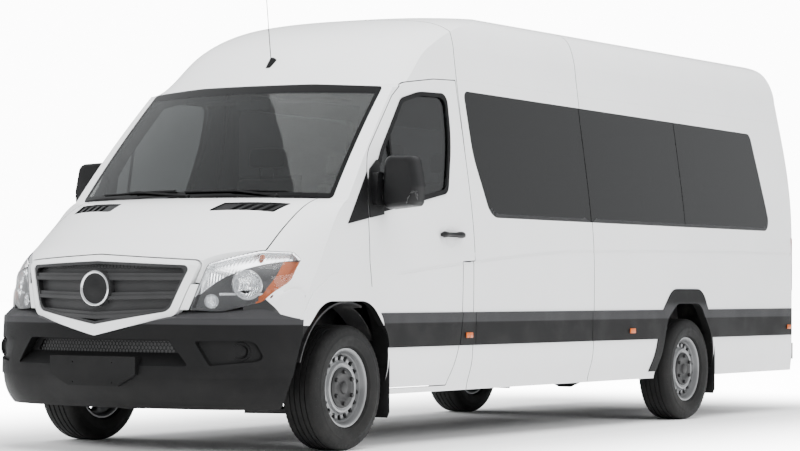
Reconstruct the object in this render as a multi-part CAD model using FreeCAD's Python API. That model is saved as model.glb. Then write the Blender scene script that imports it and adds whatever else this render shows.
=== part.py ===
import FreeCAD
import Part
import math
import os

# High-roof minibus in millimetres: +Z up, the vehicle faces -Y, its left flank is +X.
# The body is one outer form and the same form set inwards by the wall. Every panel is a
# stretch of the wall between the two, so that panels meet flush with an even gap.
# Places are worked out from the front axle and moved to the middle of the vehicle at export.

V = FreeCAD.Vector

# overall
WHEELBASE = 4325.0
FRONT_OVERHANG = 1061.0
REAR_OVERHANG = 2005.0
FRONT_TRACK = 1710.0
REAR_TRACK = 1716.0

# body section, half widths and heights
SILL_HALF = 938.0
SILL_Z = 300.0
FLANK_HALF = 989.0
BELT_HALF = 985.0
BELT_Z = 1165.0
GUTTER_HALF = 862.0
GUTTER_Z = 2150.0
CREASE_HALF = 836.0
CREASE_Z = 2361.0
ROOF_Z = 2625.0
SIDE_BULGE = 9.0
WALL = 50.0
BONNET_WALL = 32.0
LAMP_DEPTH = 130.0
FORM_BOTTOM = 200.0

# nose, windscreen, cap and tail
NOSE_Y = -1025.0
LEAD_Z = 1040.0
BONNET_REAR_Y = -203.0
BONNET_REAR_Z = 1410.0
SCREEN_TOP_Y = 430.0
SCREEN_TOP_Z = 2082.0
BONNET_CURVE = [(0.094, 76.0), (0.22, 130.0), (0.40, 207.0), (0.58, 275.0), (0.76, 330.0)]
CAP_CURVE = [
    (170.0, 145.0), (370.0, 288.0), (570.0, 380.0), (910.0, 470.0), (1370.0, 518.0), (1870.0, 558.0),
]
ROOF_END = [(425.0, 0.0), (265.0, 35.0), (175.0, 115.0), (135.0, 240.0)]
STEP_DEPTH = 105.0
REAR_CORNER = 150.0

# gaps and clearances
GAP = 6.0
SEAT = 0.3
GLASS = 5.0

# wheels
TYRE_RADIUS = 350.0
TYRE_WIDTH = 235.0
RIM_RADIUS = 220.0
RIM_WIDTH = 180.0
HUB_OFFSET = 60.0
HUB_RADIUS = 84.0
RIM_HOLES = 18
RIM_HOLE_RADIUS = 17.0
RIM_HOLE_CIRCLE = 166.0

# steering axis, leaning inwards at its top
BALL_X = 790.0
BALL_Z = 240.0
STRUT_TOP_X = 650.0
STRUT_TOP_Z = 860.0
STRUT_RADIUS = 26.0
STRUT_ROD_RADIUS = 16.0
BALL_PIN_RADIUS = 24.0

# bonnet
BONNET_HALF = 806.0
BONNET_REAR_GAP = 20.0
BONNET_PIN = 5.0
BONNET_PIN_Y = -101.0
BONNET_PIN_Z = 1391.0
BONNET_PIN_LENGTH = 34.0
BONNET_Z = (1200.0, 1500.0)
WING_TOP = 1380.0
WING_INNER = 790.0

# where the cab frame meets the side panels, above and below the door's step
CAB_END = 1300.0
DOOR_STEP_Y = 1062.0
DOOR_STEP_Z = 1060.0
DOOR_SILL_Z = 336.0

# front door hinges, as leaves on the wings
LEAF_X = (905.0, 960.0)
LEAF_Y = (150.0, 260.0)
LEAVES_Z = [900.0, 1180.0]
LEAF_HEIGHT = 70.0

# cowl and bulkhead between engine and cab
COWL_Y = (-140.0, 110.0)
COWL_Z = (1388.0, 1412.0)
BULKHEAD_Y = (60.0, 100.0)
BULKHEAD_HALF = 870.0
BULKHEAD_TOP = 1400.0

# doors
DOOR_DEPTH = 100.0
DOOR_STEP = 18.0
REAR_DOOR_HALF = 800.0
REAR_DOOR_BOTTOM = 520.0
REAR_DOOR_TOP = 2330.0
REAR_DOOR_GAP = 9.0
HINGE_RADIUS = 9.0
REAR_HINGE_OUT = 10.0
REAR_HINGE_X = REAR_DOOR_HALF + 4.0
REAR_HINGES = [640.0, 1200.0, 1960.0]
HINGE_HALF = 30.0
STRAP_WIDTH = 24.0
STRAP_DEPTH = 110.0

# lamps, as bowls of (x, y, z, radius) that look outwards and ahead
LAMP_RIM = 9.0
LAMP_BOWLS = [(783.0, -722.0, 920.0, 80.0), (632.0, -836.0, 828.0, 36.0)]
LAMP_TOE = 28.0
BOWL_DEPTH = 0.82

# bumper, grille and bonnet details
BUMPER_WALL = 35.0
BUMPER_BOTTOM = 236.0
BUMPER_END = -360.0
BUMPER_OPEN_Z = 600.0
POCKET_DEPTH = 26.0
VALANCE_TOP = 418.0
VALANCE_STEP = 13.0
FOG_PLACE = (812.0, 563.0)
FOG_RADIUS = 50.0
MESH_DEPTH = 66.0
PLATE_HALF = 292.0
PLATE_HOLE_X = 135.0
PLATE_HOLES_Z = (388.0, 496.0)
PLATE_HOLE_RADIUS = 3.5
PLATE_HOLE_DEPTH = 14.0
BUMPER_LIP = 14.0
BOSS_Z = 895.0
BOSS_RADIUS = 98.0
BOSS_PROUD = 16.0
GRILLE_DEPTHS = (6.0, 14.0, 44.0, 50.0)
GRILLE_RIM = 16.0
SLATS = [(961.0, 2.0), (866.0, 14.0), (779.0, 30.0)]
SLAT_HEIGHT = 38.0
VENT_SLOTS = 6
VENT_START = 400.0
VENT_PITCH = 54.0
VENT_SLOT = 30.0
VENT_LEAN = 100.0
VENT_RIM = 12.0

# grooves pressed into the panels
CREASE_DEPTH = 2.0
CREASE_HEIGHT = 16.0
ROOF_SEAMS = [1330.0, 2880.0]
SEAM_WIDTH = 6.0

# door handle and window seal
HANDLE_Z = 1220.0
HANDLE_Y = (948.0, 1196.0)
HANDLE_X = (995.0, 1011.0)
HANDLE_RADIUS = 14.0
HANDLE_FOOT = 10.0
SCALLOP_RADIUS = 180.0
SCALLOP_DEPTH = 20.0
SEAL_OUT = 14.0
SEAL_IN = 12.0

# mirror: housing rings as (y, margin), arms as (start, end, radius)
MIRROR_RINGS = [(272.0, -26.0), (286.0, -8.0), (315.0, 0.0), (380.0, 2.0)]
MIRROR_RIM = 12.0
MIRROR_SINK = 8.0
MIRROR_ARMS = [
    ((950.0, 280.0, 1412.0), (1030.0, 322.0, 1425.0), 22.0),
    ((942.0, 280.0, 1522.0), (1030.0, 322.0, 1535.0), 18.0),
]

# mudflaps as (y, bottom, top)
FLAP_INNER = 700.0
FLAPS = [(406.0, 175.0, 330.0), (4752.0, 160.0, 420.0)]

# rear step, tail lamps and rear door straps
STEP_Z = (380.0, 500.0)
REAR_STRAP = 90.0

# seats
SEAT_ROWS = 5
FIRST_ROW_Y = 1760.0
SEAT_PITCH = 800.0
SEAT_WIDTH = 429.0
DOUBLE_SEATS = [190.0, 620.0]
DOUBLE_LEGS = [60.0, 560.0]
SINGLE_SEAT = -615.0
SINGLE_LEG = -560.0
HEADREST_HALF = 130.0
LEG_HALF = 30.0
LEG_Y = (90.0, 430.0)
CUSHION = [(0.0, 300.0, 40.0), (0.0, 430.0, 50.0), (480.0, 410.0, 20.0), (480.0, 300.0, 20.0)]
BACKREST = [(400.0, 380.0, 20.0), (510.0, 1010.0, 40.0), (600.0, 1010.0, 30.0), (530.0, 330.0, 30.0)]
HEADREST = [(508.0, 1000.0, 10.0), (520.0, 1190.0, 40.0), (600.0, 1190.0, 30.0), (598.0, 1000.0, 10.0)]

# cab
DRIVER_X = 430.0
FRONT_SEAT_Y = 640.0
FRONT_SEAT_WIDTH = 500.0
DASH_HALF = 840.0
DASH_REAR = [(330.0, 1350.0, 60.0), (400.0, 1200.0, 60.0), (300.0, 900.0, 40.0)]
WHEEL_RADIUS = 190.0
WHEEL_GRIP = 15.0

# trim band along the flanks
BAND_BOTTOM = 566.0
BAND_TOP = 764.0
BAND_PROUD = 7.0
BAND_END = 6100.0

# floor, frame and rear wheelhouses
FLOOR_Z = 600.0
FLOOR_THICK = 40.0
UNDER_Z = FLOOR_Z - FLOOR_THICK
CAB_FLOOR_HALF = 570.0
CAB_FLOOR_Y = (-40.0, 482.0)
CAB_END_Y = 1330.0
FLOOR_SHORT = 60.0
DOOR_CLEARANCE = 16.0
RAIL_X = 470.0
RAIL_WIDTH = 80.0
RAIL_HEIGHT = 120.0
RAIL_START = -860.0
CROSS_MEMBERS = [-840.0, 700.0, 1700.0, 2700.0, 3500.0, 5100.0, 6065.0]
CROSS_SIZE = 90.0
OUTRIGGERS = [1400.0, 1900.0, 2900.0, 3600.0, 5000.0]
OUTRIGGER_WIDTH = 60.0
OUTRIGGER_HEIGHT = 50.0
SHEET = 8.0
WHEELHOUSE_X = 640.0
WHEELHOUSE_Y = (WHEELBASE - 475.0, WHEELBASE + 435.0)
WHEELHOUSE_TOP = 860.0

# front aprons, strut towers and wheel liners
APRON_X = 560.0
APRON_SHEET = 10.0
TOWER_HALF = 110.0
TOWER_DEPTH = 40.0
LINER_RADIUS = 470.0
LINER_START = 740.0
LINER_BY_DOOR = 870.0
LINER_BY_WING = 945.0
LINER_Z = (500.0, 900.0)
DOOR_FRONT_Y = 160.0

# engine, subframe, tank and exhaust
ENGINE_HALF = 300.0
ENGINE_FRONT = -640.0
ENGINE_TOP = 1020.0
SUBFRAME_HALF = 420.0
SUBFRAME_Y = 90.0
SUBFRAME_Z = (250.0, 330.0)
ARM_Z = (200.0, 226.0)
MOUNT_HALF = 40.0
MOUNT_Z = (200.0, 440.0)
AXLE_RADIUS = 45.0
SPRING_X = 590.0
SPRING_WIDTH = 70.0
SPRING_ENDS = (WHEELBASE - 700.0, WHEELBASE + 720.0)
SPRING_Z = (380.0, 470.0)
SPRING_THICK = 16.0
HANGER_HALF = (40.0, 30.0)
DISC_RADIUS = 150.0
DISC_THICK = 24.0
STUB_RADIUS = 52.0
TANK_Y = (1500.0, 2600.0)
PIPE_X = -250.0
PIPE_RADIUS = 35.0
PIPE_Y = (600.0, 3300.0)
MUFFLER_RADIUS = 85.0
MUFFLER_Y = (2100.0, 2800.0)
MUFFLER_Z = UNDER_Z - CROSS_SIZE - MUFFLER_RADIUS - SEAT

REAR_Y = WHEELBASE + REAR_OVERHANG
TAIL_Y = REAR_Y - STEP_DEPTH
ROW_SHIFT = V(0, -(REAR_Y - FRONT_OVERHANG) / 2, 0)
BIG = 3000.0
STEP_PLAN = [
    (-940.0, TAIL_Y - 100.0, 20.0), (-900.0, REAR_Y - 10.0, 60.0), (0.0, REAR_Y, 0.0),
    (900.0, REAR_Y - 10.0, 60.0), (940.0, TAIL_Y - 100.0, 20.0),
]

forms = {}


def place(plane, a, b, level):
    """A point of an outline: a and b are the two axes left, in X, Y, Z order."""
    if plane == "x":
        return V(level, a, b)
    if plane == "y":
        return V(a, level, b)
    return V(a, b, level)


def rounded_wire(plane, corners, level):
    """Closed outline of (a, b, radius) corners, each rounded by its radius."""
    count = len(corners)
    edges = []
    ends = []
    for k, (a, b, radius) in enumerate(corners):
        here = V(a, b, 0)
        before = V(corners[k - 1][0], corners[k - 1][1], 0) - here
        after = V(corners[(k + 1) % count][0], corners[(k + 1) % count][1], 0) - here
        before.normalize()
        after.normalize()
        half = before.getAngle(after) / 2
        if radius <= 0:
            ends.append((here, here, here))
            continue
        reach = radius / math.tan(half)
        middle = before + after
        middle.normalize()
        mid = here + middle * (radius / math.sin(half) - radius)
        ends.append((here + before * reach, mid, here + after * reach))
    for k, (start, mid, end) in enumerate(ends):
        nxt = ends[(k + 1) % count][0]
        if (end - start).Length > 1e-6:
            arc = [place(plane, p.x, p.y, level) for p in (start, mid, end)]
            edges.append(Part.Arc(*arc).toShape())
        if (nxt - end).Length > 1e-6:
            edges.append(Part.makeLine(place(plane, end.x, end.y, level), place(plane, nxt.x, nxt.y, level)))
    return Part.Wire(edges)


def slab(plane, corners, low, high):
    """Solid of a rounded outline between two levels of the axis that plane names."""
    full = [c if len(c) == 3 else (c[0], c[1], 0.0) for c in corners]
    face = Part.Face(rounded_wire(plane, full, low))
    return face.extrude(place(plane, 0, 0, high - low))


def box(x0, x1, y0, y1, z0, z1):
    return Part.makeBox(x1 - x0, y1 - y0, z1 - z0, V(x0, y0, z0))


def rod(start, end, radius):
    way = end - start
    return Part.makeCylinder(radius, way.Length, start, way)


def fuse(shapes):
    whole = shapes[0]
    for shape in shapes[1:]:
        whole = whole.fuse(shape)
    return whole.removeSplitter()


def biggest(shape):
    """The panel itself, without crumbs that two close outlines leave at its corners."""
    return max(shape.Solids, key=lambda solid: solid.Volume)


def other_side(shape):
    return shape.mirror(V(0, 0, 0), V(1, 0, 0))


def spline(points):
    curve = Part.BSplineCurve()
    curve.interpolate(points)
    return curve.toShape()


def nose_y(x):
    """Front of the painted nose at a distance from the middle."""
    u = abs(x) / 1000.0
    return NOSE_Y + 400.0 * u ** 2 + 180.0 * u ** 8


def bonnet_drop(x):
    """How far the bonnet's front lies below its middle line at x."""
    u = abs(x) / 1000.0
    return 185.0 * u ** 4 + 60.0 * u ** 16


def cap_drop(x):
    """How far the roof cap falls away from its middle line at x."""
    r = min(abs(x), GUTTER_HALF + 18.0)
    return 30.0 * (r / 770.0) ** 4 + 60.0 * (r / GUTTER_HALF) ** 12


def screen_base(x):
    return BONNET_REAR_Y + 154.0 * (x / 879.0) ** 2, BONNET_REAR_Z - 8.0 * (x / 879.0) ** 2


def screen_top(x):
    return SCREEN_TOP_Y + 137.0 * (x / 814.0) ** 2, SCREEN_TOP_Z - 14.0 * (x / 814.0) ** 2


def tail_y(x):
    """Rear face in plan, with its rounded corners."""
    return TAIL_Y - REAR_CORNER * (abs(x) / (FLANK_HALF + 1.0)) ** 20 - 15.0 * (x / 1000.0) ** 2


def long_profile(x, inset):
    """Closed side view of the body at x: nose, bonnet, screen, cap, roof, tail and bottom."""
    front = nose_y(x) + inset
    lead = LEAD_Z - bonnet_drop(x) - inset
    base_y, base_z = screen_base(x)
    base = (base_y + 0.7 * inset, base_z - 0.9 * inset)
    top_y, top_z = screen_top(x)
    top = (top_y + 0.8 * inset, top_z - 0.6 * inset)
    bonnet = [(front, lead)]
    for share, rise in BONNET_CURVE:
        z = LEAD_Z + rise - inset - bonnet_drop(x) * (1.0 - share)
        bonnet.append((front + share * (base[0] - front), z))
    bonnet.append(base)
    cap = [top]
    for run, rise in CAP_CURVE:
        cap.append((top[0] + run, SCREEN_TOP_Z + rise - inset - cap_drop(x)))
    tail = tail_y(x) - inset
    ridge = cap[-1][1]
    rear_edge = [(tail - run, ridge - drop) for run, drop in ROOF_END]
    rear_face = [rear_edge[-1], (tail - 75.0, 2032.0), (tail, BELT_Z), (tail, 700.0)]
    chin = front - 22.0
    runs = [
        [(chin, FORM_BOTTOM), (chin, 700.0)],
        [(chin, 700.0), (front - 14.0, 880.0), (front, lead)],
        bonnet,
        [base, ((base[0] + top[0]) / 2 - 10.0, (base[1] + top[1]) / 2 + 10.0), top],
        cap,
        [cap[-1], rear_edge[0]],
        rear_edge,
        rear_face,
        [rear_face[-1], (tail, FORM_BOTTOM)],
        [(tail, FORM_BOTTOM), (chin, FORM_BOTTOM)],
    ]
    return Part.Wire([spline([V(x, y, z) for y, z in run]) for run in runs])


def flank_points(inset):
    """Half section of the flank from the sill to the roof's crease."""
    middle = (BELT_Z + GUTTER_Z) / 2
    points = [
        (SILL_HALF, SILL_Z),
        (SILL_HALF + 12.0, SILL_Z + 60.0),
        (FLANK_HALF - 16.0, SILL_Z + 140.0),
        (FLANK_HALF - 4.0, BAND_BOTTOM),
        (FLANK_HALF, 820.0),
        (BELT_HALF, BELT_Z),
        ((BELT_HALF + GUTTER_HALF) / 2 + SIDE_BULGE, middle),
        (GUTTER_HALF, GUTTER_Z),
        (CREASE_HALF, CREASE_Z),
    ]
    return [(x - inset, z) for x, z in points]


def cross_section(inset):
    """Full section of the body across the vehicle, extruded along it."""
    side = flank_points(inset)
    crown = [
        side[-1],
        (CREASE_HALF - 24.0 - inset, CREASE_Z + 94.0 - 0.3 * inset),
        (CREASE_HALF - 66.0 - 0.6 * inset, CREASE_Z + 169.0 - 0.8 * inset),
        (CREASE_HALF - 146.0 - 0.2 * inset, ROOF_Z - 53.0 - inset),
        (400.0, ROOF_Z - 17.0 - inset),
        (0.0, ROOF_Z - inset),
    ]
    crown = crown + [(-x, z) for x, z in reversed(crown[:-1])]
    low = SILL_HALF - 8.0 - inset
    runs = [
        [(-low, FORM_BOTTOM), (low, FORM_BOTTOM)],
        [(low, FORM_BOTTOM), side[0]],
        side,
        crown,
        [(-x, z) for x, z in reversed(side)],
        [(-side[0][0], side[0][1]), (-low, FORM_BOTTOM)],
    ]
    wire = Part.Wire([spline([V(x, -BIG, z) for x, z in run]) for run in runs])
    return Part.Face(wire).extrude(V(0, WHEELBASE + 3 * BIG, 0))


def form(inset):
    """The body's outer form set inwards by inset."""
    if inset not in forms:
        half = [300.0, 560.0, 740.0, 840.0, 900.0, 945.0, 985.0, 1015.0]
        stations = [-x for x in reversed(half)] + [0.0] + half
        along = Part.makeLoft([long_profile(x, inset) for x in stations], True, False)
        forms[inset] = along.common(cross_section(inset))
    return forms[inset]


def skin(region, outer, inner):
    """The stretch of wall in a region, between two insets."""
    return form(outer).common(region).cut(form(inner))


def nose_sheet(region, near, far):
    """A sheet in a region that follows the nose, between two depths behind it."""
    front = form(0.0).copy()
    front.translate(V(0, near, 0))
    back = form(0.0).copy()
    back.translate(V(0, far, 0))
    return region.common(front).cut(back)


# outlines on the flank, as (y, z, radius) from the front axle
DOOR_SEAM = [
    (406.0, 336.0, 20.0), (345.0, 582.0, 60.0), (322.0, 724.0, 120.0), (205.0, 880.0, 160.0),
    (178.0, 1060.0, 200.0), (183.0, 1456.0, 300.0), (232.0, 1672.0, 200.0), (568.0, 2012.0, 120.0),
    (700.0, 2098.0, 160.0), (1056.0, 2142.0, 300.0), (1312.0, 2152.0, 12.0), (1345.0, 1072.0, 4.0),
    (1205.0, 1066.0, 4.0), (1197.0, 761.0, 200.0), (1165.0, 566.0, 300.0), (1079.0, 336.0, 10.0),
]
DOOR_WINDOW = [
    (300.0, 1345.0, 10.0), (759.0, 1425.0, 900.0), (1060.0, 1478.0, 70.0), (1160.0, 1790.0, 900.0),
    (1172.0, 2052.0, 60.0), (874.0, 2045.0, 500.0), (668.0, 1995.0, 80.0), (390.0, 1690.0, 300.0),
    (300.0, 1560.0, 60.0),
]
SIDE_WINDOW = [
    (1395.0, 2097.0, 45.0), (1420.0, 1700.0, 600.0), (1560.0, 1334.0, 130.0),
    (5714.0, 1336.0, 90.0), (5545.0, 2050.0, 60.0),
]
FRONT_ARCH = [
    (-600.0, 190.0), (-585.0, 340.0, 60.0), (-500.0, 640.0, 150.0), (-300.0, 832.0, 220.0),
    (180.0, 832.0, 240.0), (372.0, 640.0, 160.0), (400.0, 330.0, 20.0), (400.0, 190.0),
]
REAR_ARCH = [
    (3835.0, 190.0), (3848.0, 340.0, 20.0), (3955.0, 700.0, 120.0), (4100.0, 805.0, 150.0),
    (4470.0, 805.0, 150.0), (4640.0, 600.0, 160.0), (4735.0, 330.0, 20.0), (4735.0, 190.0),
]
ARCH_TRIM = [
    (3745.0, 345.0), (3872.0, 750.0, 120.0), (4030.0, 906.0, 160.0), (4500.0, 906.0, 170.0),
    (4640.0, 700.0, 60.0), (4735.0, 345.0),
]
ROOF_LINE = [(-400.0, 2060.0), (567.0, 2078.0), (1338.0, GUTTER_Z + 12.0)]
FRONT_FLARE = [
    (-600.0, 600.0), (-505.0, 742.0, 80.0), (-400.0, 880.0, 160.0), (-190.0, 990.0, 200.0),
    (50.0, 992.0, 200.0), (200.0, 905.0, 160.0), (330.0, 735.0), (330.0, 600.0),
]
WING_ZONE = [
    (-1200.0, 700.0), (-1200.0, WING_TOP), (171.0, WING_TOP), (171.0, WING_TOP - 1.0),
    (420.0, WING_TOP - 1.0), (420.0, 335.0), (171.0, 335.0), (171.0, 190.0), (-400.0, 190.0),
    (-400.0, 700.0),
]
CORNER_TRIM = [(-40.0, 1262.0), (174.0, 1297.0), (200.0, 1297.0), (200.0, 1560.0)]
MIRROR_FOOT = [
    (188.0, 1299.0, 4.0), (340.0, 1322.0, 4.0), (340.0, 1650.0, 20.0), (228.0, 1575.0, 10.0),
    (190.0, 1450.0, 10.0),
]
QUARTER_POST = [(462.0, 1350.0), (482.0, 1350.0), (492.0, 1990.0), (472.0, 1990.0)]
MIRROR_PAD = [(215.0, 1370.0, 20.0), (310.0, 1370.0, 20.0), (310.0, 1560.0, 30.0), (240.0, 1560.0, 20.0)]
BELT_CREASE = [
    (480.0, 989.0), (900.0, 1028.0), (1310.0, 1061.0), (1900.0, 1106.0), (2458.0, 1138.0),
    (3543.0, 1156.0), (4806.0, 1170.0), (6050.0, 1172.0),
]
# bonnet vent in plan, left side
VENT_OUTLINE = [(733.0, -232.0, 6.0), (362.0, -346.0, 6.0), (342.0, -486.0, 14.0), (700.0, -362.0, 14.0)]
SLIDING_DOOR = [(1352.0, 345.0, 20.0), (1352.0, 2136.0, 20.0), (2852.0, 2136.0, 20.0), (2852.0, 345.0, 20.0)]
PANES = [(1395.0, 2800.0), (2930.0, 4210.0), (4330.0, 5714.0)]
PANE_JOINTS = [2867.0, 4266.0]
JOINT_WIDTH = 8.0
PANE_RIM = 22.0
# outlines seen from the front, as (x, z, radius), left half
LAMP_OUTLINE = [
    (626.0, 1034.0, 8.0), (548.0, 783.0, 10.0), (700.0, 775.0, 150.0), (862.0, 826.0, 60.0),
    (938.0, 940.0, 80.0), (936.0, 1060.0, 30.0), (902.0, 1098.0, 12.0), (800.0, 1104.0, 120.0),
]
SCREEN_OUTLINE = [
    (-884.0, 1400.0, 20.0), (884.0, 1400.0, 20.0), (818.0, 2072.0, 25.0), (400.0, 2092.0, 900.0),
    (-400.0, 2092.0, 900.0), (-818.0, 2072.0, 25.0),
]
GRILLE_OUTER = [
    (-590.0, 1046.0, 30.0), (0.0, 1078.0, 0.0), (590.0, 1046.0, 30.0), (480.0, 752.0, 70.0),
    (0.0, 640.0, 60.0), (-480.0, 752.0, 70.0),
]
GRILLE_INNER = [
    (-541.0, 1022.0, 25.0), (0.0, 1044.0, 0.0), (541.0, 1022.0, 25.0), (443.0, 775.0, 60.0),
    (0.0, 700.0, 60.0), (-443.0, 775.0, 60.0),
]
MIRROR_OUTLINE = [
    (990.0, 1350.0, 40.0), (1215.0, 1370.0, 30.0), (1225.0, 1480.0, 60.0), (1190.0, 1648.0, 45.0),
    (1008.0, 1656.0, 40.0),
]
REAR_PANE = [(110.0, 1420.0, 50.0), (700.0, 1420.0, 50.0), (640.0, 2120.0, 60.0), (110.0, 2120.0, 60.0)]
TAIL_LAMP = [(830.0, 900.0, 10.0), (1100.0, 900.0, 10.0), (1100.0, 1290.0, 10.0), (830.0, 1290.0, 10.0)]
FOG_POCKET = [(610.0, 618.0, 10.0), (870.0, 622.0, 45.0), (905.0, 512.0, 30.0), (690.0, 486.0, 12.0)]
INTAKE_RECESS = [(-470.0, 626.0, 20.0), (470.0, 626.0, 20.0), (588.0, 476.0, 15.0), (-588.0, 476.0, 15.0)]
INTAKE_MESH = [(-430.0, 615.0, 10.0), (430.0, 615.0, 10.0), (478.0, 552.0, 12.0), (-478.0, 552.0, 12.0)]
PLATE_BRACKET = [
    (-PLATE_HALF, 530.0, 8.0), (PLATE_HALF, 530.0, 8.0), (PLATE_HALF, 434.0, 10.0), (168.0, 370.0, 12.0),
    (-168.0, 370.0, 12.0), (-PLATE_HALF, 434.0, 10.0),
]


def grow(corners, margin):
    """The same outline moved outwards by margin; a negative margin shrinks it."""
    area = 0.0
    count = len(corners)
    for k in range(count):
        a, b = corners[k][0], corners[k][1]
        c, d = corners[(k + 1) % count][0], corners[(k + 1) % count][1]
        area += a * d - b * c
    turn = 1.0 if area > 0 else -1.0
    moved = []
    for k, corner in enumerate(corners):
        here = V(corner[0], corner[1], 0)
        before = here - V(corners[k - 1][0], corners[k - 1][1], 0)
        after = V(corners[(k + 1) % count][0], corners[(k + 1) % count][1], 0) - here
        before.normalize()
        after.normalize()
        out = V(before.y + after.y, -(before.x + after.x), 0) * turn
        out.normalize()
        facing = V(before.y, -before.x, 0) * turn
        here = here + out * (margin / max(out.dot(facing), 0.3))
        radius = corner[2] if len(corner) == 3 else 0.0
        moved.append((here.x, here.y, radius))
    return moved


def flank_slab(corners, margin=0.0, inner_x=560.0):
    return slab("x", grow(corners, margin), inner_x, BIG)


def front_slab(corners, margin=0.0, near=-1200.0, far=900.0):
    return slab("y", grow(corners, margin), near, far)


def roof_region(margin=0.0):
    """Above the line from the screen's top edge to the gutter."""
    line = ROOF_LINE + [(3 * BIG, ROOF_LINE[-1][1])]
    low = [(y, z - margin) for y, z in line]
    return slab("x", low + [(3 * BIG, BIG), (-400.0, BIG)], -BIG, BIG)


def bonnet_region(rear_margin=0.0, side_margin=0.0):
    """The bonnet in plan, from the lamps' tops to the foot of the windscreen."""
    side = BONNET_HALF + side_margin
    rear = []
    for k in range(9):
        x = side * (1.0 - k / 4.0)
        rear.append((x, screen_base(x)[0] - BONNET_REAR_GAP + rear_margin))
    front = []
    for k in range(-5, 6):
        x = 590.0 * k / 5.0
        front.append((x, nose_y(x) + 22.0 - side_margin))
    outline = rear + [(-side, -592.0 - side_margin)] + front + [(side, -592.0 - side_margin)]
    return slab("z", outline, 900.0, 1600.0)


def nose_pieces():
    """Bonnet, wings, lamps, grille frame and grille, cut from one nose."""
    lamp = front_slab(LAMP_OUTLINE, 0.0, far=-250.0)
    lamp_hole = front_slab(LAMP_OUTLINE, GAP, far=-250.0)
    lamp_holes = lamp_hole.fuse(other_side(lamp_hole))
    frame_outer = front_slab(GRILLE_OUTER, 0.0, far=-700.0)
    frame_hole = front_slab(GRILLE_OUTER, GAP, far=-700.0)
    opening = front_slab(GRILLE_INNER, 0.0, far=-700.0)
    arch = flank_slab(FRONT_ARCH)
    bumper_zone = bumper_form(-SEAT).common(box(-BIG, BIG, -1400.0, -340.0, 0.0, 1000.0))
    parts = {}
    lamp_zone = lamp.cut(bumper_zone).cut(arch).cut(front_slab(GRILLE_OUTER, SEAT, far=-700.0))
    cover = skin(lamp_zone, 0.0, GLASS)
    parts["lamp_covers"] = cover.fuse(other_side(cover))
    housing = lamp_housing(lamp_zone, bumper_zone)
    parts["headlamps"] = housing.fuse(other_side(housing))
    parts["grille_frame"] = skin(frame_outer.cut(opening).cut(bumper_zone), 0.0, WALL)
    bonnet = skin(bonnet_region(), 0.0, BONNET_WALL).cut(lamp_holes).cut(frame_hole)
    bore = bonnet_pin(BONNET_PIN_LENGTH + GAP, BONNET_PIN + SEAT)
    bonnet = bonnet.cut(bore).cut(other_side(bore))
    vent = slab("z", VENT_OUTLINE, *BONNET_Z)
    vents = vent.fuse(other_side(vent))
    parts["bonnet"] = bonnet.cut(vents.cut(form(BONNET_WALL / 2)))
    insert = vent_insert()
    parts["bonnet_vents"] = insert.fuse(other_side(insert))
    door_hole = flank_slab(DOOR_SEAM, GAP)
    zone = slab("x", WING_ZONE, WING_INNER, BIG)
    beside_lamp = front_slab(LAMP_OUTLINE, SEAT, far=-250.0)
    for taken in (bonnet_region(GAP, GAP), beside_lamp, bumper_zone, arch, door_hole):
        zone = zone.cut(taken)
    flare = skin(zone.common(flank_slab(FRONT_FLARE)), -BAND_PROUD, GLASS)
    wing = skin(zone, 0.0, BONNET_WALL).fuse(flare)
    edge = flank_slab(DOOR_SEAM, SEAT - DOOR_STEP)
    leaves = [box(*LEAF_X, *LEAF_Y, z, z + LEAF_HEIGHT).cut(edge) for z in LEAVES_Z]
    wing = biggest(fuse([wing] + leaves))
    parts["wings"] = wing.fuse(other_side(wing))
    return parts


def bonnet_pin(length, radius):
    """Left hinge pin of the bonnet, reaching into it from its side edge."""
    start = V(BONNET_HALF + BONNET_REAR_GAP, BONNET_PIN_Y, BONNET_PIN_Z)
    return rod(start, start - V(length, 0, 0), radius)


def lamp_housing(zone, bumper_zone):
    """Housing behind a lamp's cover, with a rim, a sunk face and turned bowls."""
    body = skin(zone, GLASS, LAMP_DEPTH)
    above = bumper_zone.copy()
    above.translate(V(0, 0, LAMP_RIM))
    sunk = front_slab(LAMP_OUTLINE, -LAMP_RIM, far=-250.0).cut(above)
    sunk = sunk.cut(front_slab(GRILLE_OUTER, LAMP_RIM, far=-700.0)).cut(form(BONNET_WALL))
    body = body.cut(sunk)
    toe = math.radians(LAMP_TOE)
    out = V(math.sin(toe), -math.cos(toe), 0)
    for x, y, z, radius in LAMP_BOWLS:
        body = body.cut(bowl(V(x, y, z), out, radius).common(sunk.fuse(form(BONNET_WALL))))
    body.translate(V(0, SEAT, 0))
    return biggest(body)


def bowl(centre, out, radius):
    """Turned hollow of a reflector, open ahead along out."""
    across = V(0, 0, 1)
    depth = BOWL_DEPTH * radius
    floor = centre - out * depth
    side = centre + across * radius
    middle = centre - out * (0.62 * depth) + across * (0.72 * radius)
    mouth = centre + out * radius
    edges = [
        Part.Arc(floor, middle, side).toShape(),
        Part.makeLine(side, mouth + across * radius),
        Part.makeLine(mouth + across * radius, mouth),
        Part.makeLine(mouth, floor),
    ]
    return Part.Face(Part.Wire(edges)).revolve(centre, out, 360)


def vent_insert():
    """Black louvred insert of one bonnet vent, sunk in its recess."""
    zone = slab("z", grow(VENT_OUTLINE, -SEAT), *BONNET_Z)
    insert = skin(zone, GLASS, BONNET_WALL / 2 - SEAT)
    inside = slab("z", grow(VENT_OUTLINE, -VENT_RIM), *BONNET_Z)
    slots = []
    for k in range(VENT_SLOTS):
        x = VENT_START + VENT_PITCH * k
        lean = V(VENT_LEAN, 400.0, 0)
        corners = [V(x, -600.0, 0), V(x + VENT_SLOT, -600.0, 0)]
        corners += [corner + lean for corner in reversed(corners)]
        slots.append(slab("z", [(corner.x, corner.y) for corner in corners], *BONNET_Z))
    return insert.cut(inside.common(Part.makeCompound(slots)))


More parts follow.
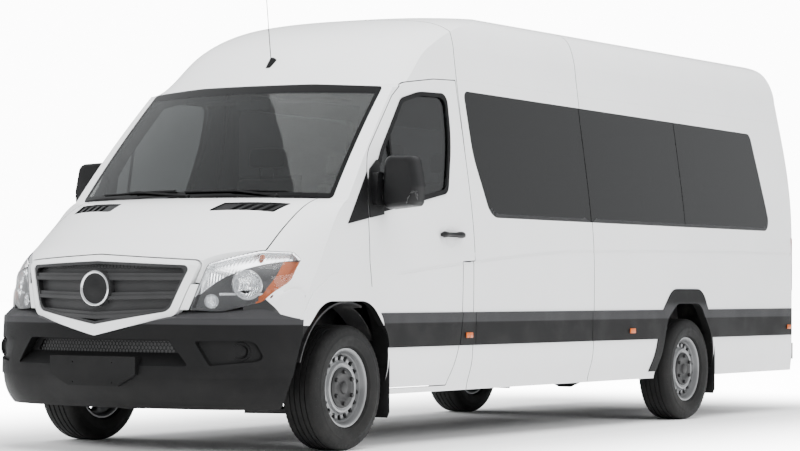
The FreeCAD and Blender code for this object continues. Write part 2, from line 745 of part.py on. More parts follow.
def crease(points):
    """Shallow pressed line along a flank, as what is cut away."""
    low = [(y, z - CREASE_HEIGHT / 2) for y, z in points]
    high = [(y, z + CREASE_HEIGHT / 2) for y, z in reversed(points)]
    return slab("x", low + high, 560.0, BIG).cut(form(CREASE_DEPTH))


def shell_pieces():
    """Roof, cab frame, side walls and the fixed sliding door, cut from the body's wall."""
    wall = form(0.0).cut(form(WALL))
    roof_zone = roof_region()
    below_roof = box(-BIG, BIG, -BIG, 3 * BIG, SILL_Z - 1.0, ROOF_Z + 100.0).cut(roof_region(SEAT))
    doors = flank_slab(DOOR_SEAM, GAP)
    doors = doors.fuse(other_side(doors))
    screen = front_slab(SCREEN_OUTLINE, 0.0, near=-400.0)
    hole_half = REAR_DOOR_HALF + GAP
    rear_hole = box(-hole_half, hole_half, TAIL_Y - 700.0, TAIL_Y + 100.0, -BIG, REAR_DOOR_TOP + GAP)
    arch = flank_slab(REAR_ARCH)
    arches = arch.fuse(other_side(arch))
    parts = {}
    seams = []
    for y in ROOF_SEAMS:
        seams.append(box(-BIG, BIG, y - SEAM_WIDTH / 2, y + SEAM_WIDTH / 2, 0.0, BIG))
    grooves = Part.makeCompound(seams).cut(form(GLASS))
    parts["roof"] = wall.common(roof_zone).cut(screen).cut(rear_hole).cut(doors).cut(grooves)
    lower = wall.common(below_roof)
    low = WING_TOP + SEAT
    cab_zone = slab("x", [(-400.0, low), (1340.0, low), (1340.0, BIG), (-400.0, BIG)], -BIG, BIG)
    cab = lower.common(cab_zone).cut(screen).cut(doors).cut(bonnet_region(BONNET_REAR_GAP, GAP))
    cab = cab.common(box(-BIG, BIG, -400.0, CAB_END, 0.0, BIG))
    cowl = box(-BIG, BIG, *COWL_Y, *COWL_Z).cut(screen).cut(doors).cut(bonnet_region(BONNET_REAR_GAP, GAP))
    tower_top = STRUT_TOP_Z + APRON_SHEET + SEAT
    bulkhead = box(-BULKHEAD_HALF, BULKHEAD_HALF, *BULKHEAD_Y, tower_top, BULKHEAD_TOP)
    between = APRON_X - SEAT
    bulkhead = bulkhead.fuse(box(-between, between, *BULKHEAD_Y, FLOOR_Z + SEAT, tower_top + 1.0))
    pin = bonnet_pin(BONNET_PIN_LENGTH, BONNET_PIN)
    inner = form(BONNET_WALL).common(cowl.fuse(bulkhead))
    parts["cab_frame"] = biggest(fuse([cab, inner, pin, other_side(pin)]))
    side_zone = box(-BIG, BIG, 400.0, 3 * BIG, SILL_Z - 1.0, BIG).cut(pillar_cut())
    sides = lower.common(side_zone).cut(doors).cut(rear_hole).cut(arches)
    band = flank_slab(SIDE_WINDOW)
    recess = band.cut(form(GLASS))
    holes = None
    for start, end in PANES:
        pane = slab("x", window_pane(start, end, PANE_RIM), 560.0, BIG)
        holes = pane if holes is None else holes.fuse(pane)
    half = box(0.0, BIG, -BIG, 3 * BIG, 0.0, BIG)
    side = sides.common(half).cut(recess).cut(holes).cut(crease(BELT_CREASE))
    side = fuse([side] + rear_hinges()).cut(grooves)
    parts["side_wall_left"] = side
    parts["side_wall_right"] = other_side(side)
    slide = slab("x", SLIDING_DOOR, 560.0, BIG)
    slide_hole = slab("x", grow(SLIDING_DOOR, GAP), 560.0, BIG)
    parts["sliding_door"] = parts["side_wall_right"].common(other_side(slide))
    parts["side_wall_right"] = parts["side_wall_right"].cut(other_side(slide_hole))
    glass = skin(band, 0.0, GLASS)
    for y in PANE_JOINTS:
        glass = glass.cut(box(0.0, BIG, y - JOINT_WIDTH / 2, y + JOINT_WIDTH / 2, 0.0, BIG))
    parts["side_glass"] = glass.fuse(other_side(glass))
    bonnet_side = bonnet_region(BONNET_REAR_GAP + GAP / 2, FLANK_HALF)
    screen_zone = front_slab(SCREEN_OUTLINE, -SEAT, near=-400.0).cut(bonnet_side)
    parts["windscreen"] = skin(screen_zone, 0.0, GLASS)
    return parts


def rear_hinges():
    """Barrels and straps of the left rear door's hinges, on the side wall."""
    y = tail_y(REAR_HINGE_X) + REAR_HINGE_OUT
    beside = box(0.0, REAR_DOOR_HALF + GAP, -BIG, y - HINGE_RADIUS, 0.0, BIG)
    shapes = []
    for z in REAR_HINGES:
        low = z - HINGE_HALF
        high = z + HINGE_HALF
        shapes.append(rod(V(REAR_HINGE_X, y, low), V(REAR_HINGE_X, y, high), HINGE_RADIUS).cut(beside))
        strap = box(REAR_HINGE_X, REAR_HINGE_X + STRAP_WIDTH, y - STRAP_DEPTH, y - 4.0, low, high)
        shapes.append(strap.cut(form(GLASS)))
    return shapes


def pillar_cut():
    """What lies ahead of the side panel above the sill: the door and the cab."""
    edge = CAB_END + SEAT
    below = [(-BIG, DOOR_SILL_Z), (DOOR_STEP_Y, DOOR_SILL_Z), (DOOR_STEP_Y, DOOR_STEP_Z)]
    return slab("x", below + [(edge, DOOR_STEP_Z), (edge, BIG), (-BIG, BIG)], -BIG, BIG)


def window_pane(start, end, rim):
    """Opening of one pane: the band's outline between two places, less the rim."""
    low = SIDE_WINDOW[3][1] + rim
    high = SIDE_WINDOW[4][1] - rim / 2
    front = [(start, high, 50.0), (start, low, 50.0)]
    if start == SIDE_WINDOW[0][0]:
        front = [(start + 36.0 + rim, high, 50.0), (start + 175.0 + rim, low, 110.0)]
    rear = [(end, low, 50.0), (end, high, 50.0)]
    if end == SIDE_WINDOW[3][0]:
        rear = [(end - rim, low, 90.0), (end - 169.0 - rim, high, 60.0)]
    return front + rear


def door_pieces():
    """Front doors with their glass, mirrors and trim band, left side first."""
    seam = flank_slab(DOOR_SEAM)
    inner = flank_slab(DOOR_SEAM, -DOOR_STEP)
    frame = skin(inner, 0.0, WALL)
    outer_skin = skin(seam, 0.0, BONNET_WALL / 2)
    lower = skin(inner.common(box(560.0, BIG, -BIG, BIG, 0.0, 1290.0)), 0.0, DOOR_DEPTH)
    door = frame.fuse(outer_skin).fuse(lower)
    window = flank_slab(DOOR_WINDOW)
    door = door.cut(window)
    arch = flank_slab(FRONT_ARCH)
    door = door.cut(arch).cut(crease(BELT_CREASE))
    scallop = V(FLANK_HALF + SCALLOP_RADIUS - SCALLOP_DEPTH, sum(HANDLE_Y) / 2, HANDLE_Z)
    door = door.cut(Part.makeSphere(SCALLOP_RADIUS, scallop))
    glass = skin(flank_slab(DOOR_WINDOW, -SEAT), GLASS, BONNET_WALL / 2)
    band_zone = box(0.0, BIG, 200.0, BIG, BAND_BOTTOM, BAND_TOP)
    band = skin(band_zone.common(seam).cut(flank_slab(FRONT_ARCH)), -BAND_PROUD, 0.0)
    ring = flank_slab(DOOR_WINDOW, SEAL_OUT).cut(flank_slab(DOOR_WINDOW, -SEAL_IN))
    divider = slab("x", QUARTER_POST, 560.0, BIG)
    foot = flank_slab(MIRROR_FOOT, SEAT)
    ring = skin(ring.fuse(divider.common(flank_slab(DOOR_WINDOW))).cut(foot), -BAND_PROUD, 0.0)
    band = Part.makeCompound([band, ring, handle()])
    mirror = mirror_piece()
    parts = {}
    for side, shape in (("door", door), ("door_glass", glass), ("door_moulding", band), ("mirror", mirror)):
        parts[side + "_left"] = shape
        parts[side + "_right"] = other_side(shape)
    return parts


def handle():
    """Pull handle standing over its scallop, held at both ends."""
    front, rear = HANDLE_Y
    inner, outer = HANDLE_X
    low = HANDLE_Z - HANDLE_RADIUS
    high = HANDLE_Z + HANDLE_RADIUS
    round_end = HANDLE_RADIUS - 1.0
    ends = [(front, low), (rear, low), (rear, high), (front, high)]
    bar = slab("x", [(y, z, round_end) for y, z in ends], inner, outer)
    feet = []
    for y in (front + HANDLE_RADIUS, rear - HANDLE_RADIUS):
        feet.append(rod(V(inner - 30.0, y, HANDLE_Z), V(inner + 2.0, y, HANDLE_Z), HANDLE_FOOT))
    return fuse([bar] + feet).cut(form(0.0))


def mirror_piece():
    """Mirror housing on two arms and a foot at the corner of the door window."""
    rings = [rounded_wire("y", grow(MIRROR_OUTLINE, margin), y) for y, margin in MIRROR_RINGS]
    housing = Part.makeLoft(rings, True, False)
    back = MIRROR_RINGS[-1][0]
    housing = housing.cut(slab("y", grow(MIRROR_OUTLINE, -MIRROR_RIM), back - MIRROR_SINK, back + 5.0))
    foot = skin(flank_slab(MIRROR_FOOT), -BAND_PROUD, 0.0)
    pad = slab("x", MIRROR_PAD, 930.0, 1000.0)
    arms = [rod(V(*start), V(*end), radius) for start, end, radius in MIRROR_ARMS]
    return fuse([housing, foot] + [shape.cut(form(0.0)) for shape in [pad] + arms])


def rear_pieces():
    """Rear doors with glass, the step bumper and the tail lamps."""
    behind = (TAIL_Y - 690.0, TAIL_Y + 100.0)
    door_zone = box(REAR_DOOR_GAP / 2, REAR_DOOR_HALF, *behind, REAR_DOOR_BOTTOM, REAR_DOOR_TOP)
    pane = slab("y", REAR_PANE, *behind)
    hole = slab("y", grow(REAR_PANE, -PANE_RIM), *behind)
    door = skin(door_zone, 0.0, WALL).cut(pane.cut(form(GLASS))).cut(hole)
    edge = tail_y(REAR_DOOR_HALF)
    straps = []
    start = REAR_DOOR_HALF - REAR_STRAP
    end = REAR_HINGE_X - HINGE_RADIUS - SEAT
    for z in REAR_HINGES:
        strap = box(start, end, edge - STRAP_DEPTH, edge + GAP, z - HINGE_HALF, z + HINGE_HALF)
        straps.append(strap.cut(form(GLASS)))
    door = fuse([door] + straps)
    glass = skin(pane, 0.0, GLASS)
    parts = {"rear_door_left": door, "rear_door_right": other_side(door)}
    parts["rear_glass_left"] = glass
    parts["rear_glass_right"] = other_side(glass)
    parts["rear_bumper"] = slab("z", STEP_PLAN, *STEP_Z).cut(form(0.0))
    lamp = skin(slab("y", TAIL_LAMP, TAIL_Y - REAR_CORNER, TAIL_Y + 100.0), -BAND_PROUD, 0.0)
    parts["tail_lamps"] = lamp.fuse(other_side(lamp))
    return parts


def trim_pieces():
    """Trim band, arch mouldings and mudflaps, all dark plastic on the body."""
    band_zone = box(0.0, BIG, DOOR_STEP_Y, BAND_END, BAND_BOTTOM, BAND_TOP)
    ring = flank_slab(ARCH_TRIM)
    zone = band_zone.fuse(ring).cut(flank_slab(REAR_ARCH)).cut(flank_slab(DOOR_SEAM, GAP))
    zone = zone.cut(flank_slab(SLIDING_DOOR, GAP / 2).cut(flank_slab(SLIDING_DOOR, -GAP / 2)))
    band = skin(zone, -BAND_PROUD, 0.0)
    flaps = [box(FLAP_INNER, SILL_HALF - WALL - SEAT, y, y + SHEET, low, high) for y, low, high in FLAPS]
    corner = skin(flank_slab(CORNER_TRIM).cut(flank_slab(DOOR_SEAM, GAP)), -BAND_PROUD, 0.0)
    left = Part.makeCompound([band, biggest(corner)] + flaps)
    return {"side_mouldings": Part.makeCompound([left, other_side(left)])}


BUMPER_TOP = [
    (0.0, 668.0), (250.0, 712.0), (482.0, 768.0), (600.0, 784.0), (700.0, 786.0),
    (800.0, 806.0), (862.0, 824.0), (930.0, 796.0), (985.0, 752.0), (1010.0, 746.0),
]


def bumper_y(x):
    u = abs(x) / 1000.0
    return NOSE_Y - 25.0 + 200.0 * u ** 2 + 375.0 * u ** 8


def bumper_profile(x, inset):
    """Closed side view of the bumper at x; its top slopes back until it meets the nose."""
    front = bumper_y(x) + inset
    top = bumper_top(x) - inset
    ridge = min(738.0 - inset, top - 20.0)
    bottom = BUMPER_BOTTOM + inset
    chin = [V(x, front + 95.0, bottom), V(x, front + 22.0, 330.0), V(x, front, 480.0)]
    face = [chin[-1], V(x, front + 2.0, 600.0 - 0.3 * inset), V(x, front + 10.0, ridge)]
    top_edge = [face[-1], V(x, nose_y(x) + 25.0, top), V(x, 400.0, top), V(x, 400.0, bottom), chin[0]]
    lines = [Part.makeLine(start, end) for start, end in zip(face, face[1:])]
    lines += [Part.makeLine(start, end) for start, end in zip(top_edge, top_edge[1:])]
    return Part.Wire([spline(chin)] + lines)


def bumper_top(x):
    """Height of the bumper's top edge under the grille, the lamp and the wing."""
    knots = BUMPER_TOP
    u = min(abs(x), knots[-1][0])
    for (x0, z0), (x1, z1) in zip(knots, knots[1:]):
        if u <= x1:
            return z0 + (z1 - z0) * (u - x0) / (x1 - x0)


def bumper_form(inset):
    half = [250.0, 482.0, 600.0, 700.0, 800.0, 862.0, 930.0, 985.0, 1010.0]
    stations = [-x for x in reversed(half)] + [0.0] + half
    whole = Part.makeLoft([bumper_profile(x, inset) for x in stations], True, False)
    wide = FLANK_HALF + 3.0 - inset
    return whole.common(box(-wide, wide, -1400.0, 420.0, 0.0, 1000.0))


def along_bumper(profile, half_width):
    """Solid of a (y, z) profile carried along the bumper's front, y counted from its face."""
    sections = []
    for k in range(-4, 5):
        x = half_width * k / 4.0
        front = bumper_y(x)
        sections.append(Part.makePolygon([V(x, front + y, z) for y, z in profile + profile[:1]]))
    return Part.makeLoft(sections, True, False)


def front_bumper():
    """Bumper shell with its intake, fog pockets, lower valance and plate bracket."""
    ahead = (-1400.0, -800.0)
    lip_end = MESH_DEPTH + 12.0
    ledge = [(8.0, 440.0), (lip_end, 440.0), (lip_end, 660.0), (8.0, 660.0)]
    throat = [(-60.0, 660.0), (-60.0, 470.0), (0.0, 482.0), (MESH_DEPTH, 552.0), (MESH_DEPTH, 660.0)]
    lip = along_bumper(ledge, 620.0).common(slab("y", grow(INTAKE_RECESS, BUMPER_LIP), *ahead))
    shell = bumper_form(0.0).cut(bumper_form(BUMPER_WALL)).fuse(lip)
    shell = shell.cut(along_bumper(throat, 620.0).common(slab("y", INTAKE_RECESS, *ahead)))
    shell = shell.cut(slab("y", INTAKE_MESH, *ahead))
    arch = flank_slab(FRONT_ARCH)
    shell = shell.cut(arch).cut(other_side(arch))
    shell = shell.common(box(-BIG, BIG, -1400.0, BUMPER_END, 0.0, 1000.0))
    behind_nose = form(0.0).copy()
    behind_nose.translate(V(0, 90.0, 0))
    shell = shell.cut(behind_nose.common(box(-850.0, 850.0, -1200.0, 0.0, BUMPER_OPEN_Z, 900.0)))
    pocket = slab("y", FOG_POCKET, -1400.0, -600.0).cut(bumper_form(POCKET_DEPTH))
    valance = box(-BIG, BIG, -1400.0, 0.0, 0.0, VALANCE_TOP).cut(bumper_form(VALANCE_STEP))
    shell = shell.cut(pocket).cut(other_side(pocket)).cut(valance)
    blank = fog_blank()
    bracket = slab("y", PLATE_BRACKET, -FRONT_OVERHANG, -1000.0).cut(bumper_form(POCKET_DEPTH))
    shell = fuse([shell, blank, other_side(blank), bracket])
    for x in (-PLATE_HOLE_X, PLATE_HOLE_X):
        for z in PLATE_HOLES_Z:
            start = V(x, -FRONT_OVERHANG - 1.0, z)
            shell = shell.cut(rod(start, start + V(0, PLATE_HOLE_DEPTH + 1.0, 0), PLATE_HOLE_RADIUS))
    return biggest(shell)


def fog_blank():
    """Round blank in the fog pocket: a turned ring with a dished middle."""
    x, z = FOG_PLACE
    toe = math.radians(LAMP_TOE)
    out = V(math.sin(toe), -math.cos(toe), 0)
    centre = V(x, bumper_y(x) + POCKET_DEPTH + 8.0, z)
    dish = [(-4.0, 0.0), (6.0, 0.0), (4.0, 26.0), (-1.0, 34.0)]
    profile = dish + [(16.0, 40.0), (16.0, 46.0), (-4.0, FOG_RADIUS)]
    wire = Part.makePolygon([centre + out * t + V(0, 0, r) for t, r in profile + profile[:1]])
    return Part.Face(wire).revolve(centre, out, 360)


def grille():
    """Surround, three broad slats and a plain round boss over a backing sheet; a lower mesh sheet."""
    opening = front_slab(GRILLE_INNER, -SEAT, far=-700.0)
    inside = front_slab(GRILLE_INNER, -GRILLE_RIM, far=-700.0)
    front, middle, back, end = GRILLE_DEPTHS
    shapes = [nose_sheet(opening, back, end), nose_sheet(opening.cut(inside), front + 2.0, back + 2.0)]
    half = SLAT_HEIGHT / 2
    for depth, bottom, top in ((middle, 0.0, half), (front, -half, 0.0)):
        bars = []
        for z, drop in SLATS:
            upper = [(-600.0, z + top), (0.0, z + top - drop), (600.0, z + top)]
            lower = [(600.0, z + bottom), (0.0, z + bottom - drop), (-600.0, z + bottom)]
            bars.append(slab("y", upper + lower, -1200.0, -700.0))
        shapes.append(nose_sheet(opening.common(Part.makeCompound(bars)), depth, back + 2.0))
    shapes.append(rod(V(0, NOSE_Y - BOSS_PROUD, BOSS_Z), V(0, NOSE_Y + back + 2.0, BOSS_Z), BOSS_RADIUS))
    near = MESH_DEPTH + 12.0 + SEAT
    sheet = [(near, 535.0), (near + 6.0, 535.0), (near + 6.0, 632.0), (near, 632.0)]
    return Part.makeCompound([fuse(shapes), along_bumper(sheet, 500.0)])


def apron():
    """Left inner wing: an upright sheet, the strut's tower and the arched liner over the wheel."""
    top = STRUT_TOP_Z
    sheet_x = APRON_X + APRON_SHEET
    hollow = Part.makeCylinder(LINER_RADIUS, BIG, V(APRON_X - APRON_SHEET, 0, TYRE_RADIUS), V(1, 0, 0))
    sheet = box(APRON_X, sheet_x, -LINER_RADIUS, LINER_RADIUS, UNDER_Z, top + APRON_SHEET)
    plate = box(APRON_X, LINER_START + 2 * APRON_SHEET, -TOWER_HALF, TOWER_HALF, top, top + APRON_SHEET)
    reach = box(LINER_START, LINER_BY_DOOR, -BIG, BIG, *LINER_Z)
    reach = reach.fuse(box(LINER_START, LINER_BY_WING, -BIG, DOOR_FRONT_Y, *LINER_Z))
    liner = Part.makeCylinder(LINER_RADIUS + APRON_SHEET, BIG, V(LINER_START, 0, TYRE_RADIUS), V(1, 0, 0))
    liner = liner.cut(hollow).common(reach)
    tower = box(sheet_x - 1.0, LINER_START + SHEET, -TOWER_HALF, TOWER_HALF, top - TOWER_DEPTH, top)
    well = box(sheet_x + SHEET, LINER_START, SHEET - TOWER_HALF, TOWER_HALF - SHEET, 0.0, top)
    return fuse([sheet, plate, liner, tower.cut(well).cut(hollow)])


def floor_frame():
    """Floor with rear wheelhouses, rails, cross members and front aprons, welded as one."""
    end = TAIL_Y - FLOOR_SHORT
    clear = FLANK_HALF - DOOR_DEPTH - DOOR_CLEARANCE
    floor = box(-BIG, BIG, CAB_END_Y, end, UNDER_Z, FLOOR_Z)
    floor = floor.fuse(box(-clear, clear, CAB_FLOOR_Y[1] - 2.0, CAB_END_Y + 1.0, UNDER_Z, FLOOR_Z))
    floor = floor.fuse(box(-CAB_FLOOR_HALF, CAB_FLOOR_HALF, *CAB_FLOOR_Y, UNDER_Z, FLOOR_Z))
    front, rear = WHEELHOUSE_Y
    house = box(WHEELHOUSE_X, BIG, front - SHEET, rear + SHEET, UNDER_Z, WHEELHOUSE_TOP + SHEET)
    hollow = box(WHEELHOUSE_X + SHEET, BIG, front, rear, 0.0, WHEELHOUSE_TOP)
    floor = floor.fuse(house).fuse(other_side(house))
    floor = floor.common(form(WALL + SEAT)).cut(hollow).cut(other_side(hollow))
    half = RAIL_WIDTH / 2
    rail = box(RAIL_X - half, RAIL_X + half, RAIL_START, end, UNDER_Z - RAIL_HEIGHT, UNDER_Z)
    left = apron()
    frame = [rail, other_side(rail), left, other_side(left)]
    for y in CROSS_MEMBERS:
        frame.append(box(-RAIL_X, RAIL_X, y, y + CROSS_SIZE, UNDER_Z - CROSS_SIZE, UNDER_Z))
    for y in OUTRIGGERS:
        arm = box(-BIG, BIG, y, y + OUTRIGGER_WIDTH, UNDER_Z - OUTRIGGER_HEIGHT, UNDER_Z)
        frame.append(form(WALL + SEAT).common(arm))
    return fuse([floor] + frame)


def front_subframe():
    """Cross beam between the rails with the lower arms of both front wheels."""
    shapes = [box(-SUBFRAME_HALF, SUBFRAME_HALF, -SUBFRAME_Y, SUBFRAME_Y, *SUBFRAME_Z)]
    tip = BALL_X + 30.0
    arm = slab("z", [(400.0, -200.0), (400.0, 160.0), (tip, 30.0), (tip, -30.0)], *ARM_Z)
    start = SUBFRAME_HALF - 10.0
    mount = box(start - MOUNT_HALF, start + MOUNT_HALF, -TOWER_HALF, TOWER_HALF, *MOUNT_Z)
    for shape in (arm, mount):
        shapes += [shape, other_side(shape)]
    return fuse(shapes)


def rear_axle():
    """Live axle with its differential, on two leaf springs that hang from the frame."""
    end = REAR_TRACK / 2 + HUB_OFFSET - SEAT
    half = [
        (end, 0.0), (end, HUB_RADIUS), (end - 20.0, HUB_RADIUS), (end - 20.0, AXLE_RADIUS),
        (170.0, AXLE_RADIUS), (95.0, 125.0), (40.0, 150.0),
    ]
    profile = half + [(-x, r) for x, r in reversed(half)]
    shapes = [revolve_about_x(profile, 0.0, WHEELBASE, TYRE_RADIUS)]
    front, rear = SPRING_ENDS
    low, high = SPRING_Z
    bow = [
        (front, high), (front, high + SPRING_THICK), (WHEELBASE, low + 34.0),
        (rear, high + SPRING_THICK), (rear, high), (WHEELBASE, low),
    ]
    spring = slab("x", bow, SPRING_X - SPRING_WIDTH / 2, SPRING_X + SPRING_WIDTH / 2)
    shapes += [spring, other_side(spring)]
    wide, deep = HANGER_HALF
    for y in SPRING_ENDS:
        top = UNDER_Z - OUTRIGGER_HEIGHT - SEAT
        hanger = box(SPRING_X - wide, SPRING_X + wide, y - deep, y + deep, high - 70.0, top)
        shapes += [hanger, other_side(hanger)]
    return fuse(shapes)


def fuel_tank():
    top = UNDER_Z - OUTRIGGER_HEIGHT - SEAT
    outline = [(560.0, 330.0, 40.0), (860.0, 330.0, 60.0), (860.0, top, 30.0), (560.0, top, 30.0)]
    return slab("y", outline, *TANK_Y)


def exhaust():
    pipe = rod(V(PIPE_X, PIPE_Y[0], MUFFLER_Z), V(PIPE_X, PIPE_Y[1], MUFFLER_Z), PIPE_RADIUS)
    muffler = rod(V(PIPE_X, MUFFLER_Y[0], MUFFLER_Z), V(PIPE_X, MUFFLER_Y[1], MUFFLER_Z), MUFFLER_RADIUS)
    return fuse([pipe, muffler])


def running_gear():
    """Floor, frame, engine, axles, knuckles, tank and exhaust."""
    engine_end = CAB_FLOOR_Y[0] - SEAT
    parts = {
        "floor_frame": floor_frame(),
        "engine": box(-ENGINE_HALF, ENGINE_HALF, ENGINE_FRONT, engine_end, SUBFRAME_Z[1] + SEAT, ENGINE_TOP),
        "front_subframe": front_subframe(),
        "rear_axle": rear_axle(),
        "fuel_tank": fuel_tank(),
        "exhaust": exhaust(),
    }
    parts.update(knuckles())
    return parts


def knuckles():
    """Front hub carriers with their struts; each turns about the leaning strut line.

    The ball pin and the strut's rod lie on that line and end square to it, so
    they clear the arm and the tower at every steering angle.
    """
    foot = V(BALL_X, 0, BALL_Z)
    top = V(STRUT_TOP_X, 0, STRUT_TOP_Z)
    lean = (top - foot).normalize()
    pin_end = foot - lean * ((BALL_Z - ARM_Z[1] - SEAT - BALL_PIN_RADIUS * abs(lean.x)) / lean.z)
    rod_end = top - lean * ((SEAT + STRUT_ROD_RADIUS * abs(lean.x)) / lean.z)
    collar = top - (top - foot) * 0.02
    face = FRONT_TRACK / 2 + HUB_OFFSET
    disc = face - DISC_THICK - 42.0
    level = TYRE_RADIUS
    pieces = [
        rod(pin_end, foot, BALL_PIN_RADIUS),
        rod(foot, collar, STRUT_RADIUS),
        rod(collar, rod_end, STRUT_ROD_RADIUS),
        rod(V(BALL_X - 40.0, 0, level), V(face - 20.0, 0, level), STUB_RADIUS),
        rod(V(disc, 0, level), V(disc + DISC_THICK, 0, level), DISC_RADIUS),
        rod(V(face - 21.0, 0, level), V(face - SEAT, 0, level), HUB_RADIUS),
    ]
    left = fuse(pieces)
    return {"knuckle_left": left, "knuckle_right": other_side(left)}


def revolve_about_x(profile, x, y, z):
    """Closed (x, radius) profile turned about the wheel's axle."""
    wire = Part.makePolygon([V(x + a, y, z + r) for a, r in profile + profile[:1]])
    return Part.Face(wire).revolve(V(0, y, z), V(1, 0, 0), 360)


def wheel(track, y):
    """Tyre and pressed steel rim of the left side; the outer face is towards +X."""
    x = track / 2
    w = TYRE_WIDTH / 2
    t = TYRE_RADIUS
    r = RIM_RADIUS
    h = RIM_WIDTH / 2
    lip = h - 5.0 - SEAT
    bead = r - 12.0
    tyre = revolve_about_x([
        (-lip, bead), (-lip, r + 2), (-w + 9, r + 20), (-w, r + 55), (-w + 5, t - 34), (-w + 24, t - 8),
        (-w + 48, t), (w - 48, t), (w - 24, t - 8), (w - 5, t - 34), (w, r + 55), (w - 9, r + 20),
        (lip, r + 2), (lip, bead), (lip - 16, bead), (lip - 18, r + 2), (-lip + 18, r + 2), (-lip + 16, bead),
    ], x, y, TYRE_RADIUS)
    face = HUB_OFFSET
    seat_r = bead - SEAT
    rim = revolve_about_x([
        (h, r), (h, r - 8), (h - 10, r - 20), (h - 26, r - 30), (face, r - 36), (face - 12, r - 43),
        (face - 14, 156.0), (face - 6, 146.0), (face + 10, 138.0), (face + 12, 128.0), (face + 6, 118.0),
        (face + 8, 60.0), (face + 8, HUB_RADIUS / 2), (face, HUB_RADIUS / 2), (face, 112.0),
        (face + 2, 130.0), (face - 13, 140.0), (face - 22, 152.0), (face - 21, r - 40), (face - 10, r - 32),
        (h - 34, r - 26), (-h + 30, r - 26), (-h + 12, r - 20), (-h, r - 8), (-h, r), (-h + 5, r),
        (-h + 5, seat_r), (h - 5, seat_r), (h - 5, r),
    ], x, y, TYRE_RADIUS)
    holes = []
    for k in range(RIM_HOLES):
        angle = 2 * math.pi * k / RIM_HOLES
        centre = V(x, y + RIM_HOLE_CIRCLE * math.sin(angle), TYRE_RADIUS + RIM_HOLE_CIRCLE * math.cos(angle))
        holes.append(Part.makeCylinder(RIM_HOLE_RADIUS, 100.0, centre, V(1, 0, 0)))
    rim = rim.cut(Part.makeCompound(holes))
    return tyre, rim


def wheels():
    parts = {}
    for end, track, y in (("front", FRONT_TRACK, 0.0), ("rear", REAR_TRACK, WHEELBASE)):
        tyre, rim = wheel(track, y)
        parts["tyre_" + end + "_left"] = tyre
        parts["rim_" + end + "_left"] = rim
        parts["tyre_" + end + "_right"] = other_side(tyre)
        parts["rim_" + end + "_right"] = other_side(rim)
    return parts


def seat(places, y, width, legs):
    """A row of joined seats on their legs: cushions, backs and headrests in one solid."""
    shapes = []
    for x in places:
        for outline, half in ((CUSHION, width / 2), (BACKREST, width / 2), (HEADREST, HEADREST_HALF)):
            corners = [(y + a, FLOOR_Z + SEAT + b, radius) for a, b, radius in outline]
            shapes.append(slab("x", corners, x - half, x + half))
    low = FLOOR_Z + SEAT
    high = low + CUSHION[0][1] + 2.0
    for x in legs:
        shapes.append(box(x - LEG_HALF, x + LEG_HALF, y + LEG_Y[0], y + LEG_Y[1], low, high))
    return fuse(shapes)


def cabin():
    """Front seats, passenger seats in rows beside an aisle, and the dashboard."""
    front = []
    for x in (DRIVER_X, -DRIVER_X):
        front.append(seat([x], FRONT_SEAT_Y, FRONT_SEAT_WIDTH, [x - 160.0, x + 160.0]))
    rows = []
    for k in range(SEAT_ROWS):
        y = FIRST_ROW_Y + SEAT_PITCH * k
        rows.append(seat(DOUBLE_SEATS, y, SEAT_WIDTH, DOUBLE_LEGS))
        rows.append(seat([SINGLE_SEAT], y, SEAT_WIDTH, [SINGLE_LEG]))
    return {
        "front_seats": Part.makeCompound(front),
        "rear_seats": Part.makeCompound(rows),
        "dashboard": dashboard(),
    }


def dashboard():
    """Dashboard on the bulkhead with the steering wheel and its column."""
    back = BULKHEAD_Y[1] + SEAT
    outline = [(back, 900.0, 30.0), (back, 1330.0, 30.0)] + DASH_REAR
    dash = slab("x", outline, -DASH_HALF, DASH_HALF)
    centre = V(DRIVER_X, 520.0, 1180.0)
    way = V(0, 0.62, 0.78)
    ring = Part.makeTorus(WHEEL_RADIUS, WHEEL_GRIP, centre, way)
    hub = Part.makeCylinder(60.0, 40.0, centre - way * 40.0, way)
    spokes = [rod(centre + V(side * WHEEL_RADIUS, 0, 0), centre, 12.0) for side in (-1, 1)]
    column = rod(centre - way * 20.0, centre - way * 240.0, 35.0)
    return fuse([dash, ring, hub, column] + spokes)


def antenna():
    """Short rod aerial on its foot, over the windscreen."""
    foot = rod(V(0, 590.0, 2200.0), V(0, 640.0, 2262.0), 22.0)
    mast = rod(V(0, 615.0, 2240.0), V(0, 560.0, 2640.0), 2.5)
    return fuse([foot, mast]).cut(form(0.0))


def export(name, shape):
    shape = shape.copy()
    shape.translate(ROW_SHIFT)
    shape.exportStep("parts/" + name + ".step")


def main():
    os.makedirs("parts", exist_ok=True)
    pieces = {}
    pieces.update(nose_pieces())
    pieces.update(shell_pieces())
    pieces.update(door_pieces())
    pieces.update(rear_pieces())
    pieces.update(trim_pieces())
    pieces["front_bumper"] = front_bumper()
    pieces["grille"] = grille()
    pieces.update(running_gear())
    pieces.update(wheels())
    pieces.update(cabin())
    pieces["antenna"] = antenna()
    for name, shape in pieces.items():
        print(name, shape.isValid(), len(shape.Solids), round(shape.Volume / 1e6, 2))
        export(name, shape)


main()
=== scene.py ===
"""High-roof minibus: finishes, small pieces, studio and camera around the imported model."""

import enum
import logging
import math
from dataclasses import dataclass
from typing import Callable, Sequence

import bmesh
import bpy
import numpy as np
from mathutils import Matrix, Vector
from mathutils.bvhtree import BVHTree


